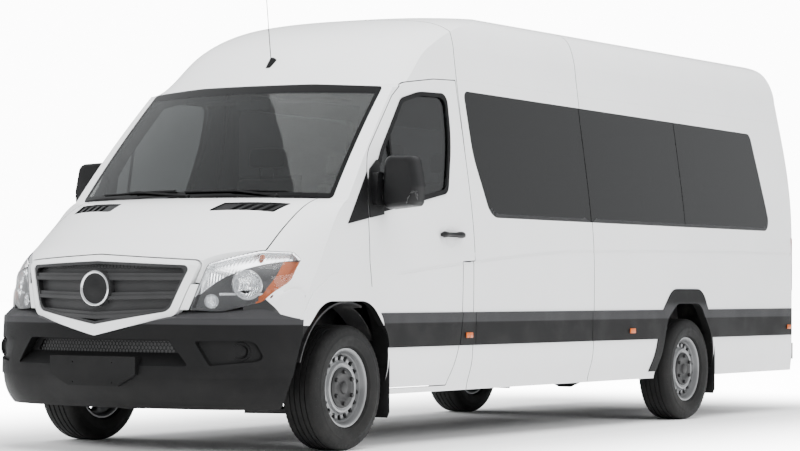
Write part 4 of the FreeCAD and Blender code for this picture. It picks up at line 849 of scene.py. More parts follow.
class Dressing:
    """Gives each carried-over node its finish."""

    PLAN: dict[str, tuple[str, ...]] = {
        "white": (
            "grille_frame", "bonnet", "roof", "cab_frame", "side_wall_left", "side_wall_right",
            "sliding_door", "door_left", "door_right", "rear_door_left", "rear_door_right",
        ),
        "trim": (
            "rear_bumper", "side_mouldings", "front_bumper", "door_moulding_left", "door_moulding_right",
        ),
        "black": ("mirror_left", "mirror_right", "antenna", "bonnet_vents"),
        "wing": ("wings",),
        "slat": ("grille",),
        "screen": ("windscreen",),
        "door_pane": ("door_glass_left", "door_glass_right"),
        "privacy": ("side_glass", "rear_glass_left", "rear_glass_right"),
        "lens": ("lamp_covers",),
        "housing": ("headlamps",),
        "tail_lens": ("tail_lamps",),
        "tyre": tuple(f"tyre_{corner.word}" for corner in Corner),
        "rim": tuple(f"rim_{corner.word}" for corner in Corner),
        "chassis": ("floor_frame", "front_subframe", "rear_axle", "fuel_tank"),
        "cast": ("engine", "knuckle_left", "knuckle_right"),
        "exhaust": ("exhaust",),
        "cabin": ("dashboard",),
        "cloth": ("front_seats", "rear_seats"),
    }

    def apply(self) -> None:
        """Puts the finishes on the nodes' material slots."""
        for finish, names in self.PLAN.items():
            for name in names:
                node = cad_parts[name]
                for slot in node.material_slots:
                    slot.material = Finishes.get(finish)
                LOG.info("dressed %s in %s", name, finish)


def spot(x: float, y: float, z: float) -> Vector:
    """A place in metres from millimetres, with y counted back from the front axle."""
    return Vector((x / 1000.0, y / 1000.0 + FRONT_AXLE_Y, z / 1000.0))


class Workbench:
    """Shapes pieces with primitives, edit-mode operators and modifiers."""

    @staticmethod
    def pick(*pieces: bpy.types.Object) -> None:
        """Selects only these pieces and makes the first one active.

        Args:
            pieces: the pieces to select.
        """
        bpy.ops.object.select_all(action="DESELECT")
        for piece in pieces:
            piece.select_set(True)
        if pieces:
            bpy.context.view_layer.objects.active = pieces[0]

    @classmethod
    def draw(cls, name: str, points: Sequence[Vector]) -> bpy.types.Object:
        """Draws a chain of edges: a small plane is merged to one corner and extruded on.

        Args:
            name: the piece's name.
            points: the chain's places in metres.

        Returns:
            The piece, left in edit mode with all of it selected.
        """
        cls.pick()
        bpy.ops.mesh.primitive_plane_add(size=0.01, location=(0.0, 0.0, 0.0))
        piece = bpy.context.object
        piece.name = name
        bpy.ops.object.mode_set(mode="EDIT")
        bpy.ops.mesh.select_mode(type="VERT")
        bpy.ops.mesh.select_all(action="SELECT")
        bpy.ops.mesh.merge(type="CENTER")
        bpy.ops.transform.translate(value=points[0])
        for here, there in zip(points, points[1:]):
            bpy.ops.mesh.extrude_region_move(TRANSFORM_OT_translate={"value": there - here})
        bpy.ops.mesh.select_all(action="SELECT")
        return piece

    @staticmethod
    def close_up() -> None:
        """Merges doubles, turns the faces outwards and leaves edit mode."""
        bpy.ops.mesh.select_all(action="SELECT")
        bpy.ops.mesh.remove_doubles(threshold=0.00002)
        bpy.ops.mesh.normals_make_consistent(inside=False)
        bpy.ops.object.mode_set(mode="OBJECT")

    @classmethod
    def turned(
        cls, name: str, profile: Sequence[tuple[float, float]], centre: Vector, axis: Vector, steps: int = 40
    ) -> bpy.types.Object:
        """Spins a profile about an axis.

        Args:
            name: the piece's name.
            profile: places along the axis and radii, in millimetres.
            centre: where the axis starts.
            axis: the axis' direction.
            steps: faces round the piece.

        Returns:
            The closed piece.
        """
        way = axis.normalized()
        across = way.orthogonal().normalized()
        points = [centre + way * (a / 1000.0) + across * (r / 1000.0) for a, r in profile]
        piece = cls.draw(name, points)
        bpy.ops.mesh.spin(steps=steps, angle=math.tau, center=centre, axis=way)
        cls.close_up()
        return piece

    @classmethod
    def plate(
        cls, name: str, outline: Sequence[Vector], depth: Vector, edge: float = 0.0,
    ) -> bpy.types.Object:
        """Fills an outline, gives it its depth and rounds its edges.

        Args:
            name: the piece's name.
            outline: the corners in order, in metres.
            depth: the way and length of the extrusion.
            edge: the rounding's width in metres.

        Returns:
            The piece.
        """
        piece = cls.draw(name, outline)
        bpy.ops.mesh.edge_face_add()
        bpy.ops.mesh.extrude_region_move(TRANSFORM_OT_translate={"value": depth})
        cls.close_up()
        if edge > 0.0:
            cls.round_edges(piece, edge)
        return piece

    @classmethod
    def block(
        cls, name: str, low: Vector, high: Vector, edge: float = 0.003, pinch: float = 1.0,
    ) -> bpy.types.Object:
        """Adds a cube at its size and place, bevels it and may narrow its top.

        Args:
            name: the piece's name.
            low: the lowest corner.
            high: the highest corner.
            edge: the rounding's width in metres.
            pinch: the top's size as a share of the bottom's.

        Returns:
            The piece.
        """
        cls.pick()
        bpy.ops.mesh.primitive_cube_add(size=1.0, location=(low + high) / 2.0, scale=high - low)
        piece = bpy.context.object
        piece.name = name
        bpy.ops.object.transform_apply(location=True, rotation=True, scale=True)
        if pinch != 1.0:
            cls.edit_faces(piece, lambda face: face.normal.z > 0.9)
            bpy.ops.transform.resize(value=(pinch, pinch, 1.0), center_override=((low + high) / 2.0))
            bpy.ops.object.mode_set(mode="OBJECT")
        cls.round_edges(piece, edge)
        return piece

    @classmethod
    def edit_faces(cls, piece: bpy.types.Object, wanted: Callable[[bmesh.types.BMFace], bool]) -> None:
        """Enters edit mode with just the wanted faces selected.

        Args:
            piece: the piece to edit.
            wanted: tells of a face whether it is wanted.
        """
        cls.pick(piece)
        bpy.ops.object.mode_set(mode="EDIT")
        bpy.ops.mesh.select_mode(type="FACE")
        bpy.ops.mesh.select_all(action="DESELECT")
        mesh = bmesh.from_edit_mesh(piece.data)
        for face in mesh.faces:
            face.select_set(bool(wanted(face)))
        bmesh.update_edit_mesh(piece.data)

    @classmethod
    def round_edges(cls, piece: bpy.types.Object, width: float, segments: int = 2) -> None:
        """Rounds the sharp edges with a bevel and applies it.

        Args:
            piece: the piece whose edges are rounded.
            width: the bevel's width in metres.
            segments: the bevel's number of steps.
        """
        cls.pick(piece)
        bevel = piece.modifiers.new("edges", "BEVEL")
        bevel.width = width
        bevel.segments = segments
        bevel.angle_limit = math.radians(40.0)
        bpy.ops.object.modifier_apply(modifier=bevel.name)

    @classmethod
    def tube(cls, name: str, points: Sequence[Vector], radius: float) -> bpy.types.Object:
        """Gives a drawn line a round section.

        Args:
            name: the piece's name.
            points: the line's places in metres.
            radius: the section's radius in metres.

        Returns:
            The piece.
        """
        line = list(points)
        if len(line) == 2:
            line.insert(1, (line[0] + line[1]) / 2.0)
        piece = cls.draw(name, line)
        bpy.ops.object.mode_set(mode="OBJECT")
        bpy.ops.object.convert(target="CURVE")
        piece = bpy.context.object
        piece.data.bevel_depth = radius
        piece.data.bevel_resolution = 3
        piece.data.use_fill_caps = True
        bpy.ops.object.convert(target="MESH")
        piece = bpy.context.object
        bpy.ops.object.mode_set(mode="EDIT")
        cls.close_up()
        return piece

    @classmethod
    def ring_of(
        cls, piece: bpy.types.Object, count: int, centre: Vector, axis: Vector,
    ) -> bpy.types.Object:
        """Repeats what is in a piece evenly around an axis.

        Args:
            piece: the piece that holds the first one.
            count: how many there are in the end.
            centre: a point on the axis.
            axis: the axis' direction.

        Returns:
            The same piece.
        """
        cls.pick(piece)
        bpy.ops.object.mode_set(mode="EDIT")
        bpy.ops.mesh.select_all(action="SELECT")
        turn = math.tau * (count - 1) / count
        bpy.ops.mesh.spin(steps=count - 1, dupli=True, angle=turn, center=centre, axis=axis)
        bpy.ops.object.mode_set(mode="OBJECT")
        return piece

    @classmethod
    def copied(
        cls, piece: bpy.types.Object, name: str, shift: Vector | None = None, mirror: bool = False,
    ) -> bpy.types.Object:
        """Copies a piece with its own mesh, moved or mirrored to the other flank.

        Args:
            piece: the piece to copy.
            name: the copy's name.
            shift: how far the copy moves.
            mirror: whether it goes to the other flank.

        Returns:
            The copy.
        """
        cls.pick(piece)
        bpy.ops.object.duplicate(linked=False)
        twin = bpy.context.object
        twin.name = name
        if shift is not None:
            twin.location = shift
        if mirror:
            twin.scale = (-1.0, 1.0, 1.0)
        bpy.ops.object.transform_apply(location=True, rotation=True, scale=True)
        if mirror:
            bpy.ops.object.mode_set(mode="EDIT")
            cls.close_up()
        return twin

    @classmethod
    def pair(cls, left: bpy.types.Object, finish: str, body: str = "root") -> None:
        """Mirrors a left piece to the right flank and fits both.

        Args:
            left: the piece, with the word left in its name.
            finish: a key of Finishes.SHEETS.
            body: the left piece's body; the right one's has the word right for left.
        """
        right = cls.copied(left, left.name.replace("left", "right"), None, True)
        cls.fit(left, finish, body)
        cls.fit(right, finish, body.replace("left", "right"))

    @classmethod
    def joined(cls, name: str, pieces: Sequence[bpy.types.Object]) -> bpy.types.Object:
        """Joins pieces into one mesh under one name.

        Args:
            name: the joined piece's name.
            pieces: the pieces to join.

        Returns:
            The joined piece.
        """
        cls.pick(*pieces)
        bpy.ops.object.join()
        whole = bpy.context.object
        whole.name = name
        return whole

    @classmethod
    def fit(
        cls, piece: bpy.types.Object, finish: str, body: str = "root", smooth: float = 35.0,
    ) -> bpy.types.Object:
        """Gives a piece its shading, finish and body.

        Args:
            piece: the finished shape.
            finish: a key of Finishes.SHEETS.
            body: the body that it rides on.
            smooth: the largest angle in degrees that is shaded smooth.

        Returns:
            The same piece.
        """
        cls.pick(piece)
        bpy.ops.object.shade_smooth_by_angle(angle=math.radians(smooth))
        piece.data.materials.clear()
        piece.data.materials.append(Finishes.get(finish))
        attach(piece, body)
        LOG.info("fitted %s in %s on %s", piece.name, finish, body)
        return piece


@dataclass
class CabShape:
    """The body lines that small pieces are laid on, as the solids have them, in millimetres."""

    nose_front: float = -1025.0
    screen_foot_y: float = -203.0
    screen_foot_z: float = 1410.0
    screen_head_y: float = 430.0
    screen_head_z: float = 2082.0

    def nose_y(self, x: float) -> float:
        """Front of the painted nose at a distance from the middle."""
        u = abs(x) / 1000.0
        return self.nose_front + 400.0 * u ** 2 + 180.0 * u ** 8

    def bumper_y(self, x: float) -> float:
        """Front of the bumper at a distance from the middle."""
        u = abs(x) / 1000.0
        return self.nose_front - 25.0 + 200.0 * u ** 2 + 375.0 * u ** 8

    def on_screen(self, x: float, share: float, proud: float = 0.0) -> Vector:
        """A place on the windscreen.

        Args:
            x: the distance from the middle.
            share: 0 at the screen's foot and 1 at its head.
            proud: how far off the glass it stands.

        Returns:
            The place in metres.
        """
        foot_y = self.screen_foot_y + 154.0 * (x / 879.0) ** 2
        foot_z = self.screen_foot_z - 8.0 * (x / 879.0) ** 2
        head_y = self.screen_head_y + 137.0 * (x / 814.0) ** 2
        head_z = self.screen_head_z - 14.0 * (x / 814.0) ** 2
        bow = 40.0 * share * (1.0 - share)
        y = foot_y + (head_y - foot_y) * share - bow - 0.72 * proud
        z = foot_z + (head_z - foot_z) * share + bow + 0.69 * proud
        return spot(x, y, z)


@dataclass
class RoadWheels:
    """Grooved tyres, hub caps with their nuts, and valves, on all four wheels."""

    track_front: float = 1710.0
    track_rear: float = 1716.0
    radius: float = 350.0
    grooves: tuple[float, ...] = (-50.0, -18.0, 18.0, 50.0)
    groove_half: float = 4.5
    groove_depth: float = 8.0
    lugs: int = 64
    nuts: int = 6
    nut_circle: float = 89.0

    def tyre_profile(self) -> list[tuple[float, float]]:
        """Lays out the tyre's closed section.

        Returns:
            Places across the tread and radii, in millimetres.
        """
        outer = [
            (85.0, 208.0), (85.0, 223.0), (99.0, 226.0), (106.0, 232.0), (109.0, 243.0), (114.5, 258.0),
            (117.0, 276.0), (117.4, 289.0), (116.0, 291.0), (115.2, 305.0), (112.5, 318.0), (108.0, 329.0),
            (101.0, 338.0), (92.0, 344.0), (80.0, 348.0),
        ]
        tread = []
        high, low = self.radius - 0.2, self.radius - self.groove_depth
        half = self.groove_half
        for place in reversed(self.grooves):
            tread += [
                (place + half, high), (place + half - 1.0, low), (place - half + 1.0, low),
                (place - half, high),
            ]
        inner = [(-a, r) for a, r in reversed(outer)]
        bore = [(-69.0, 208.0), (-67.0, 224.0), (67.0, 224.0), (69.0, 208.0), (85.0, 208.0)]
        return outer + tread + inner + bore

    def tyre(self, name: str, centre: Vector) -> bpy.types.Object:
        """Spins one tyre and rings its shoulders with lugs.

        Args:
            name: the piece's name.
            centre: the wheel's centre.

        Returns:
            The tyre.
        """
        axle = Vector((1.0, 0.0, 0.0))
        carcass = Workbench.turned(name + "_carcass", self.tyre_profile(), centre, axle, 88)
        shapes = [carcass]
        for side in (1.0, -1.0):
            steps = [
                (96.0, 341.6), (107.5, 333.0), (114.2, 314.0), (113.0, 311.0), (104.0, 326.0),
                (92.0, 338.0),
            ]
            outline = [centre + Vector((side * a, -4.5, r)) / 1000.0 for a, r in steps]
            lug = Workbench.plate(name + "_lug", outline, Vector((0.0, 0.009, 0.0)))
            shapes.append(Workbench.ring_of(lug, self.lugs, centre, axle))
        for side in (1.0, -1.0):
            steps = [
                (side * 82.0, 343.0), (side * 82.0, 347.9), (side * 58.0, 349.8), (side * 58.0, 343.0),
            ]
            outline = [centre + Vector((a, -9.0, r)) / 1000.0 for a, r in steps]
            block = Workbench.plate(name + "_block", outline, Vector((0.0, 0.013, 0.0)))
            shapes.append(Workbench.ring_of(block, self.lugs, centre, axle))
        return Workbench.joined(name, shapes)

    def cap(self, name: str, centre: Vector) -> bpy.types.Object:
        """Spins the hub cap and sets its ring of nuts and the valve.

        Args:
            name: the piece's name.
            centre: the wheel's centre.

        Returns:
            The cap.
        """
        axle = Vector((1.0, 0.0, 0.0))
        profile = [
            (88.0, 0.0), (88.0, 24.0), (85.0, 31.0), (76.0, 36.0), (74.0, 62.0), (77.0, 70.0),
            (77.0, 106.0), (73.0, 113.0), (66.5, 115.0), (66.5, 0.0),
        ]
        disc = Workbench.turned(name + "_disc", profile, centre, axle, 48)
        at = centre + Vector((0.0, 0.0, self.nut_circle / 1000.0))
        nut_profile = [
            (92.0, 0.0), (92.0, 8.0), (89.0, 13.0), (76.0, 13.5), (76.0, 16.0), (74.0, 17.0), (74.0, 0.0),
        ]
        nut = Workbench.turned(name + "_nut", nut_profile, at, axle, 6)
        nuts = Workbench.ring_of(nut, self.nuts, centre, axle)
        foot = centre + Vector((0.040, 0.0, 0.186))
        valve = Workbench.turned(
            name + "_valve", [(0.0, 0.0), (0.0, 6.0), (16.0, 5.0), (18.0, 3.8), (34.0, 3.8), (35.0, 0.0)],
            foot, Vector((0.95, 0.0, -0.3)), 12,
        )
        return Workbench.joined(name, [disc, nuts, valve])

    def build(self) -> None:
        """Makes the left front wheel's pieces and copies them to the other three."""
        places = {
            Corner.FRONT_LEFT: spot(self.track_front / 2.0, 0.0, self.radius),
            Corner.REAR_LEFT: spot(self.track_rear / 2.0, WHEELBASE * 1000.0, self.radius),
        }
        first = places[Corner.FRONT_LEFT]
        tyre = self.tyre("tread_front_left", first)
        cap = self.cap("hub_cap_front_left", first)
        for corner in Corner:
            mirror = corner.value[1] is Side.RIGHT
            end = Corner.FRONT_LEFT if corner.value[0] == "front" else Corner.REAR_LEFT
            shift = places[end] - first
            for source, word, finish in ((tyre, "tread", "tyre"), (cap, "hub_cap", "hub")):
                piece = source
                if corner is not Corner.FRONT_LEFT:
                    piece = Workbench.copied(source, f"{word}_{corner.word}", shift)
                    if mirror:
                        moved = piece
                        piece = Workbench.copied(moved, f"{word}_{corner.word}", None, True)
                        bpy.data.objects.remove(moved)
                        piece.name = f"{word}_{corner.word}"
                Workbench.fit(piece, finish, f"wheel_{corner.word}", 32.0)
                if word == "tread":
                    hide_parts(f"tyre_{corner.word}")


@dataclass
class LampUnits:
    """Bulbs and shields inside the headlamps, on both sides."""

    main_bowl: tuple[float, float, float] = (783.0, -722.0, 920.0)
    small_bowl: tuple[float, float, float] = (632.0, -836.0, 828.0)
    signal: tuple[float, float, float] = (803.0, -610.0, 1066.0)
    toe_deg: float = 28.0

    def build(self) -> None:
        """Makes the left lamp's pieces and mirrors them."""
        toe = math.radians(self.toe_deg)
        out = Vector((math.sin(toe), -math.cos(toe), 0.0))
        bulb = [
            (-62.0, 9.0), (-30.0, 9.0), (-28.0, 6.0), (-8.0, 6.0), (-6.0, 13.0), (4.0, 13.0), (9.0, 8.0),
            (10.0, 0.0),
        ]
        ring = [(-6.0, 79.0), (3.0, 79.0), (3.0, 72.0), (-2.0, 70.0), (-6.0, 73.0), (-6.0, 79.0)]
        small = [(-26.0, 7.0), (-6.0, 7.0), (-2.0, 10.0), (4.0, 8.0), (6.0, 0.0)]
        amber = [(-22.0, 8.0), (-12.0, 8.0), (-10.0, 14.0), (0.0, 15.0), (9.0, 11.0), (12.0, 0.0)]
        plan = [
            ("beam_bulb", bulb, self.main_bowl, "chrome"), ("beam_ring", ring, self.main_bowl, "chrome"),
            ("side_bulb", small, self.small_bowl, "chrome"), ("signal_bulb", amber, self.signal, "amber"),
        ]
        for word, profile, place, finish in plan:
            left = Workbench.turned(word + "_left", profile, spot(*place), out, 28)
            Workbench.pair(left, finish)


@dataclass
class ScreenWipers:
    """Two wipers parked along the windscreen's foot, with their arms and pivots."""

    shape: CabShape
    blades: tuple[tuple[float, float], ...] = ((-40.0, 610.0), (-700.0, -110.0))
    pivots: tuple[float, ...] = (560.0, -10.0)
    rise: float = 0.045
    drop: float = 0.01
    carrier_reach: float = 480.0
    steps: int = 8
    rubber_proud: float = 4.5
    carrier_proud: float = 8.5
    arm_proud: tuple[float, float, float] = (2.0, 9.0, 12.0)

    def build(self) -> None:
        """Makes each wiper from a rubber, a carrier, an arm and a pivot cap."""
        for number, ((start, end), pivot) in enumerate(zip(self.blades, self.pivots), 1):
            steps = self.steps
            low, mid, high = self.arm_proud
            xs = [start + (end - start) * k / steps for k in range(steps + 1)]
            shares = [self.rise + self.drop * k / steps for k in range(steps + 1)]
            rubber = [self.shape.on_screen(x, s, self.rubber_proud) for x, s in zip(xs, shares)]
            inner = [(x, s) for x, s in zip(xs, shares) if abs(x) < self.carrier_reach]
            carrier = [self.shape.on_screen(x, s, self.carrier_proud) for x, s in inner]
            middle = steps // 2
            blade = Workbench.tube(f"wiper_rubber_{number}", rubber, 0.0035)
            frame_bar = Workbench.tube(f"wiper_carrier_{number}", carrier, 0.0045)
            foot = self.shape.on_screen(pivot, 0.016, low)
            elbow = self.shape.on_screen(pivot + (xs[middle] - pivot) * 0.45, 0.03, mid)
            tip = self.shape.on_screen(xs[middle], shares[middle], high)
            arm = Workbench.tube(f"wiper_arm_{number}", [foot, elbow, tip], 0.006)
            normal = Vector((0.0, -0.72, 0.69))
            cap = Workbench.turned(
                f"wiper_pivot_{number}", [(-1.0, 0.0), (-1.0, 11.0), (4.0, 11.0), (7.0, 8.0), (8.0, 0.0)],
                foot, normal, 20,
            )
            clip = Workbench.block(
                f"wiper_clip_{number}", tip - Vector((0.018, 0.006, 0.006)),
                tip + Vector((0.018, 0.006, 0.004)), 0.002,
            )
            Workbench.fit(
                Workbench.joined(f"wiper_{number}", [blade, frame_bar, arm, cap, clip]), "black",
            )


@dataclass
class MirrorFaces:
    """Mirror glass and turn-signal lens of both door mirrors."""

    outline: tuple[tuple[float, float], ...] = (
        (1006.0, 1372.0), (1030.0, 1364.0), (1190.0, 1382.0), (1203.0, 1398.0), (1208.0, 1480.0),
        (1196.0, 1560.0), (1178.0, 1624.0), (1160.0, 1634.0), (1036.0, 1640.0), (1022.0, 1628.0),
    )

    def build(self) -> None:
        """Makes the left door's pieces and mirrors them."""
        glass = Workbench.plate(
            "mirror_glass_left", [spot(x, 372.2, z) for x, z in self.outline], Vector((0.0, 0.004, 0.0)),
            0.001,
        )
        steps = [
            (1156.0, 276.0, 1382.0), (1199.0, 276.0, 1456.0), (1218.0, 304.0, 1452.0),
            (1216.0, 314.0, 1408.0), (1202.0, 316.0, 1376.0),
        ]
        lens = Workbench.plate(
            "mirror_signal_left", [spot(*step) for step in steps], Vector((0.006, -0.009, 0.0)), 0.003,
        )
        Workbench.pair(glass, "silvered", "door_left")
        Workbench.pair(lens, "clear_lens", "door_left")


@dataclass
class FlankTrim:
    """Marker lamps, door locks and grips, sail seals, the sliding door's handle and its rail cover."""

    marker_places: tuple[float, ...] = (1266.0, 3415.0, 6001.0)
    marker_z: tuple[float, float] = (610.0, 642.0)
    marker_half: float = 38.0
    band_face: float = 995.5
    seal_radius: float = 0.0035
    seal_line: tuple[tuple[float, float, float], ...] = (
        (949.0, 201.0, 1551.0), (957.0, 196.0, 1507.0), (965.0, 189.0, 1444.0), (972.0, 189.0, 1381.0),
        (976.0, 190.0, 1333.0), (979.0, 190.0, 1303.0),
    )
    slide_parts: tuple[tuple, ...] = (
        ("slide_rail_cover", 983.5, (2872.0, 4230.0), (1148.0, 1176.0), 0.005, 0.0015),
        ("slide_door_handle", 986.0, (1420.0, 1640.0), (1206.0, 1236.0), 0.0195, 0.006),
    )

    def marker(self, name: str, y: float) -> bpy.types.Object:
        """Makes one marker lamp: a bevelled lens on the flank's band.

        Args:
            name: the piece's name.
            y: the distance behind the front axle.

        Returns:
            The lens.
        """
        low, high = self.marker_z
        half = self.marker_half
        outline = ((y - half, low), (y + half, low), (y + half, high), (y - half, high))
        corners = [spot(self.band_face, along, z) for along, z in outline]
        return Workbench.plate(name, corners, Vector((0.008, 0.0, 0.0)), 0.003)

    def build(self) -> None:
        """Makes the flank's pieces, left and right."""
        for number, y in enumerate(self.marker_places, 1):
            Workbench.pair(self.marker(f"marker_left_{number}", y), "amber")
        lock = Workbench.turned(
            "door_lock_left", [(-6.0, 0.0), (-6.0, 13.0), (1.0, 13.0), (3.0, 11.0), (3.0, 0.0)],
            spot(985.0, 1216.0, 1221.0), Vector((1.0, 0.0, 0.0)), 24,
        )
        Workbench.pair(lock, "chrome", "door_left")
        seal = Workbench.tube("sail_seal_left", [spot(*step) for step in self.seal_line], self.seal_radius)
        Workbench.pair(seal, "black", "door_left")
        grip_profile = [
            (0.0, 0.0), (0.0, 9.0), (7.0, 16.0), (22.0, 19.0), (44.0, 17.0), (76.0, 12.0), (120.0, 11.5),
            (158.0, 14.0), (188.0, 19.0), (222.0, 20.0), (240.0, 15.0), (247.0, 8.0), (247.0, 0.0),
        ]
        grip = Workbench.turned(
            "door_grip_left", grip_profile, spot(1004.0, 943.0, 1221.0), Vector((0.0, 1.0, 0.0)), 24,
        )
        Workbench.pair(grip, "black", "door_left")
        for name, face, (start, end), (low, high), depth, edge in self.slide_parts:
            corners = [spot(-face, y, z) for y, z in ((start, low), (end, low), (end, high), (start, high))]
            Workbench.fit(Workbench.plate(name, corners, Vector((-depth, 0.0, 0.0)), edge), "black")


@dataclass
class MudFlaps:
    """Rubber flaps behind the four wheels."""

    places: tuple[tuple[str, float, float], ...] = (("front", 396.0, 640.0), ("rear", 4728.0, 560.0))
    inner: float = 742.0
    outer: float = 982.0
    bottom: float = 168.0
    corner: tuple[float, float] = (14.0, 30.0)

    def build(self) -> None:
        """Makes the left flaps and mirrors them."""
        for word, y, top in self.places:
            across, up = self.corner
            corners = [
                (self.inner, top), (self.outer, top), (self.outer, self.bottom + up),
                (self.outer - across, self.bottom), (self.inner + across, self.bottom),
                (self.inner, self.bottom + up),
            ]
            outline = [spot(x, y, z) for x, z in corners]
            flap = Workbench.plate(f"mud_flap_{word}_left", outline, Vector((0.0, 0.007, 0.0)), 0.002)
            Workbench.pair(flap, "black")


@dataclass
class TailTrim:
    """Handle, plate panel and plate lamps of the rear doors."""

    tail: float = 6225.0
    waist: float = 1165.0

    def rear_y(self, x: float, z: float) -> float:
        """The rear door's outer face, which leans forwards above the waist, in millimetres."""
        plan = self.tail - 150.0 * (abs(x) / 990.0) ** 20 - 15.0 * (x / 1000.0) ** 2
        return plan - (0.0 if z < self.waist else 75.0 * ((z - self.waist) / 867.0) ** 1.6)

    def build(self) -> None:
        """Makes the rear pieces."""
        y = self.rear_y(60.0, 1180.0)
        handle = Workbench.block(
            "rear_handle", spot(20.0, y - 4.0, 1150.0), spot(210.0, y + 22.0, 1196.0), 0.008,
        )
        Workbench.fit(handle, "black", "rear_door_left")
        y = self.rear_y(-400.0, 900.0)
        panel = Workbench.block(
            "rear_plate_panel", spot(-660.0, y - 6.0, 800.0), spot(-130.0, y + 11.0, 940.0), 0.003,
        )
        Workbench.fit(panel, "trim", "rear_door_right")
        y = self.rear_y(-400.0, 960.0)
        for number, x in enumerate((-530.0, -260.0), 1):
            lamp = Workbench.block(
                f"plate_lamp_{number}", spot(x - 35.0, y - 4.0, 944.0), spot(x + 35.0, y + 16.0, 962.0),
                0.004,
            )
            Workbench.fit(lamp, "black", "rear_door_right")


@dataclass
class NoseCheeks:
    """White panels that close the nose between the grille's frame and the lamps, below the bonnet."""

    inner: tuple[tuple[float, float, float], ...] = (
        (498.0, -943.0, 783.0), (522.0, -931.0, 850.0), (548.0, -914.5, 920.0),
    )
    outer: tuple[tuple[float, float, float], ...] = (
        (541.0, -925.5, 783.0), (565.0, -911.0, 850.0), (586.0, -894.5, 920.0),
    )
    depth: float = 0.006

    def build(self) -> None:
        """Makes the left panel from its two edges and mirrors it."""
        outline = [spot(*corner) for corner in self.inner + tuple(reversed(self.outer))]
        left = Workbench.plate("nose_cheek_left", outline, Vector((0.0, self.depth, 0.0)), 0.0015)
        Workbench.pair(left, "white")


@dataclass
class FrontMesh:
    """Honeycomb behind the grille's slats and in the bumper's intake, and the plain boss cap."""

    shape: CabShape
    pitch: float = 22.0
    wall: float = 1.5
    depth: float = 3.0

    def honeycomb(
        self, name: str, low: tuple[float, float], high: tuple[float, float],
    ) -> bpy.types.Object:
        """Insets one six-sided cell and arrays it over a field at y = 0.

        Args:
            name: the piece's name.
            low: the field's lowest x and z in millimetres.
            high: its highest x and z.

        Returns:
            The flat honeycomb.
        """
        pitch = self.pitch / 1000.0
        row = pitch * math.sqrt(3.0) / 2.0
        Workbench.pick()
        bpy.ops.mesh.primitive_circle_add(
            vertices=6, radius=pitch / math.sqrt(3.0), fill_type="NGON",
            location=(low[0] / 1000.0, 0.0, low[1] / 1000.0), rotation=(math.pi / 2.0, 0.0, 0.0),
        )
        piece = bpy.context.object
        piece.name = name
        bpy.ops.object.transform_apply(location=True, rotation=True, scale=True)
        Workbench.edit_faces(piece, lambda face: True)
        bpy.ops.mesh.inset(thickness=self.wall / 1000.0)
        bpy.ops.mesh.delete(type="FACE")
        bpy.ops.object.mode_set(mode="OBJECT")
        columns = int((high[0] - low[0]) / self.pitch) + 1
        rows = int((high[1] - low[1]) / (2000.0 * row)) + 1
        steps = (
            (2, (pitch / 2.0, 0.0, row)), (columns, (pitch, 0.0, 0.0)), (rows, (0.0, 0.0, 2.0 * row)),
        )
        for count, offset in steps:
            array = piece.modifiers.new("cells", "ARRAY")
            array.count = count
            array.use_relative_offset = False
            array.use_constant_offset = True
            array.constant_offset_displace = offset
            bpy.ops.object.modifier_apply(modifier=array.name)
        return piece

    def lay(
        self, piece: bpy.types.Object, inside: Callable[[float, float], bool],
        face_y: Callable[[float], float],
    ) -> None:
        """Trims a flat honeycomb to an outline, curves it and gives it its depth.

        Args:
            piece: the flat honeycomb.
            inside: tells of an x and z in millimetres whether they lie in the outline.
            face_y: the y in millimetres at an x.
        """
        Workbench.edit_faces(piece, lambda face: not inside(
            face.calc_center_median().x * 1000.0, face.calc_center_median().z * 1000.0
        ))
        bpy.ops.mesh.delete(type="FACE")
        bpy.ops.object.mode_set(mode="OBJECT")
        for corner in piece.data.vertices:
            corner.co.y = spot(0.0, face_y(corner.co.x * 1000.0), 0.0).y
        wall = piece.modifiers.new("depth", "SOLIDIFY")
        wall.thickness = self.depth / 1000.0
        wall.offset = 0.0
        bpy.ops.object.modifier_apply(modifier=wall.name)

    @staticmethod
    def in_grille(x: float, z: float) -> bool:
        """Tells whether a place lies well inside the grille's opening.

        Args:
            x: the distance from the middle.
            z: the height.

        Returns:
            Whether it does.
        """
        u = abs(x)
        top = 1044.0 - 22.0 * u / 541.0
        side = 443.0 + (z - 775.0) * 98.0 / 247.0
        bottom = 700.0 + 75.0 * u / 443.0
        return bottom + 18.0 < z < top - 18.0 and u < side - 20.0

    @staticmethod
    def in_intake(x: float, z: float) -> bool:
        """Whether a place lies inside the bumper's lower intake."""
        return 548.0 < z < 622.0 and abs(x) < 478.0 - (z - 552.0) * 0.76

    def build(self) -> None:
        """Makes both honeycombs and the boss cap."""
        upper = self.honeycomb("grille_honeycomb", (-560.0, 690.0), (560.0, 1050.0))
        self.lay(upper, self.in_grille, lambda x: self.shape.nose_y(x) + 41.5)
        lower = self.honeycomb("intake_honeycomb", (-484.0, 540.0), (484.0, 625.0))
        self.lay(lower, self.in_intake, lambda x: self.shape.bumper_y(x) + 75.5)
        for piece in (upper, lower):
            Workbench.fit(piece, "gloss_black")
        ahead = Vector((0.0, -1.0, 0.0))
        place = spot(0.0, -1041.0, 895.0)
        rim = [
            (-3.0, 82.0), (-3.0, 97.0), (5.0, 97.0), (9.0, 94.0), (10.0, 90.0), (8.0, 86.0), (3.0, 82.0),
            (-3.0, 82.0),
        ]
        dish = [(-2.0, 0.0), (-2.0, 84.0), (3.5, 84.0), (2.5, 70.0), (3.5, 40.0), (6.0, 16.0), (6.6, 0.0)]
        Workbench.fit(Workbench.turned("grille_boss_ring", rim, place, ahead, 64), "chrome")
        Workbench.fit(Workbench.turned("grille_boss_dish", dish, place, ahead, 64), "black")


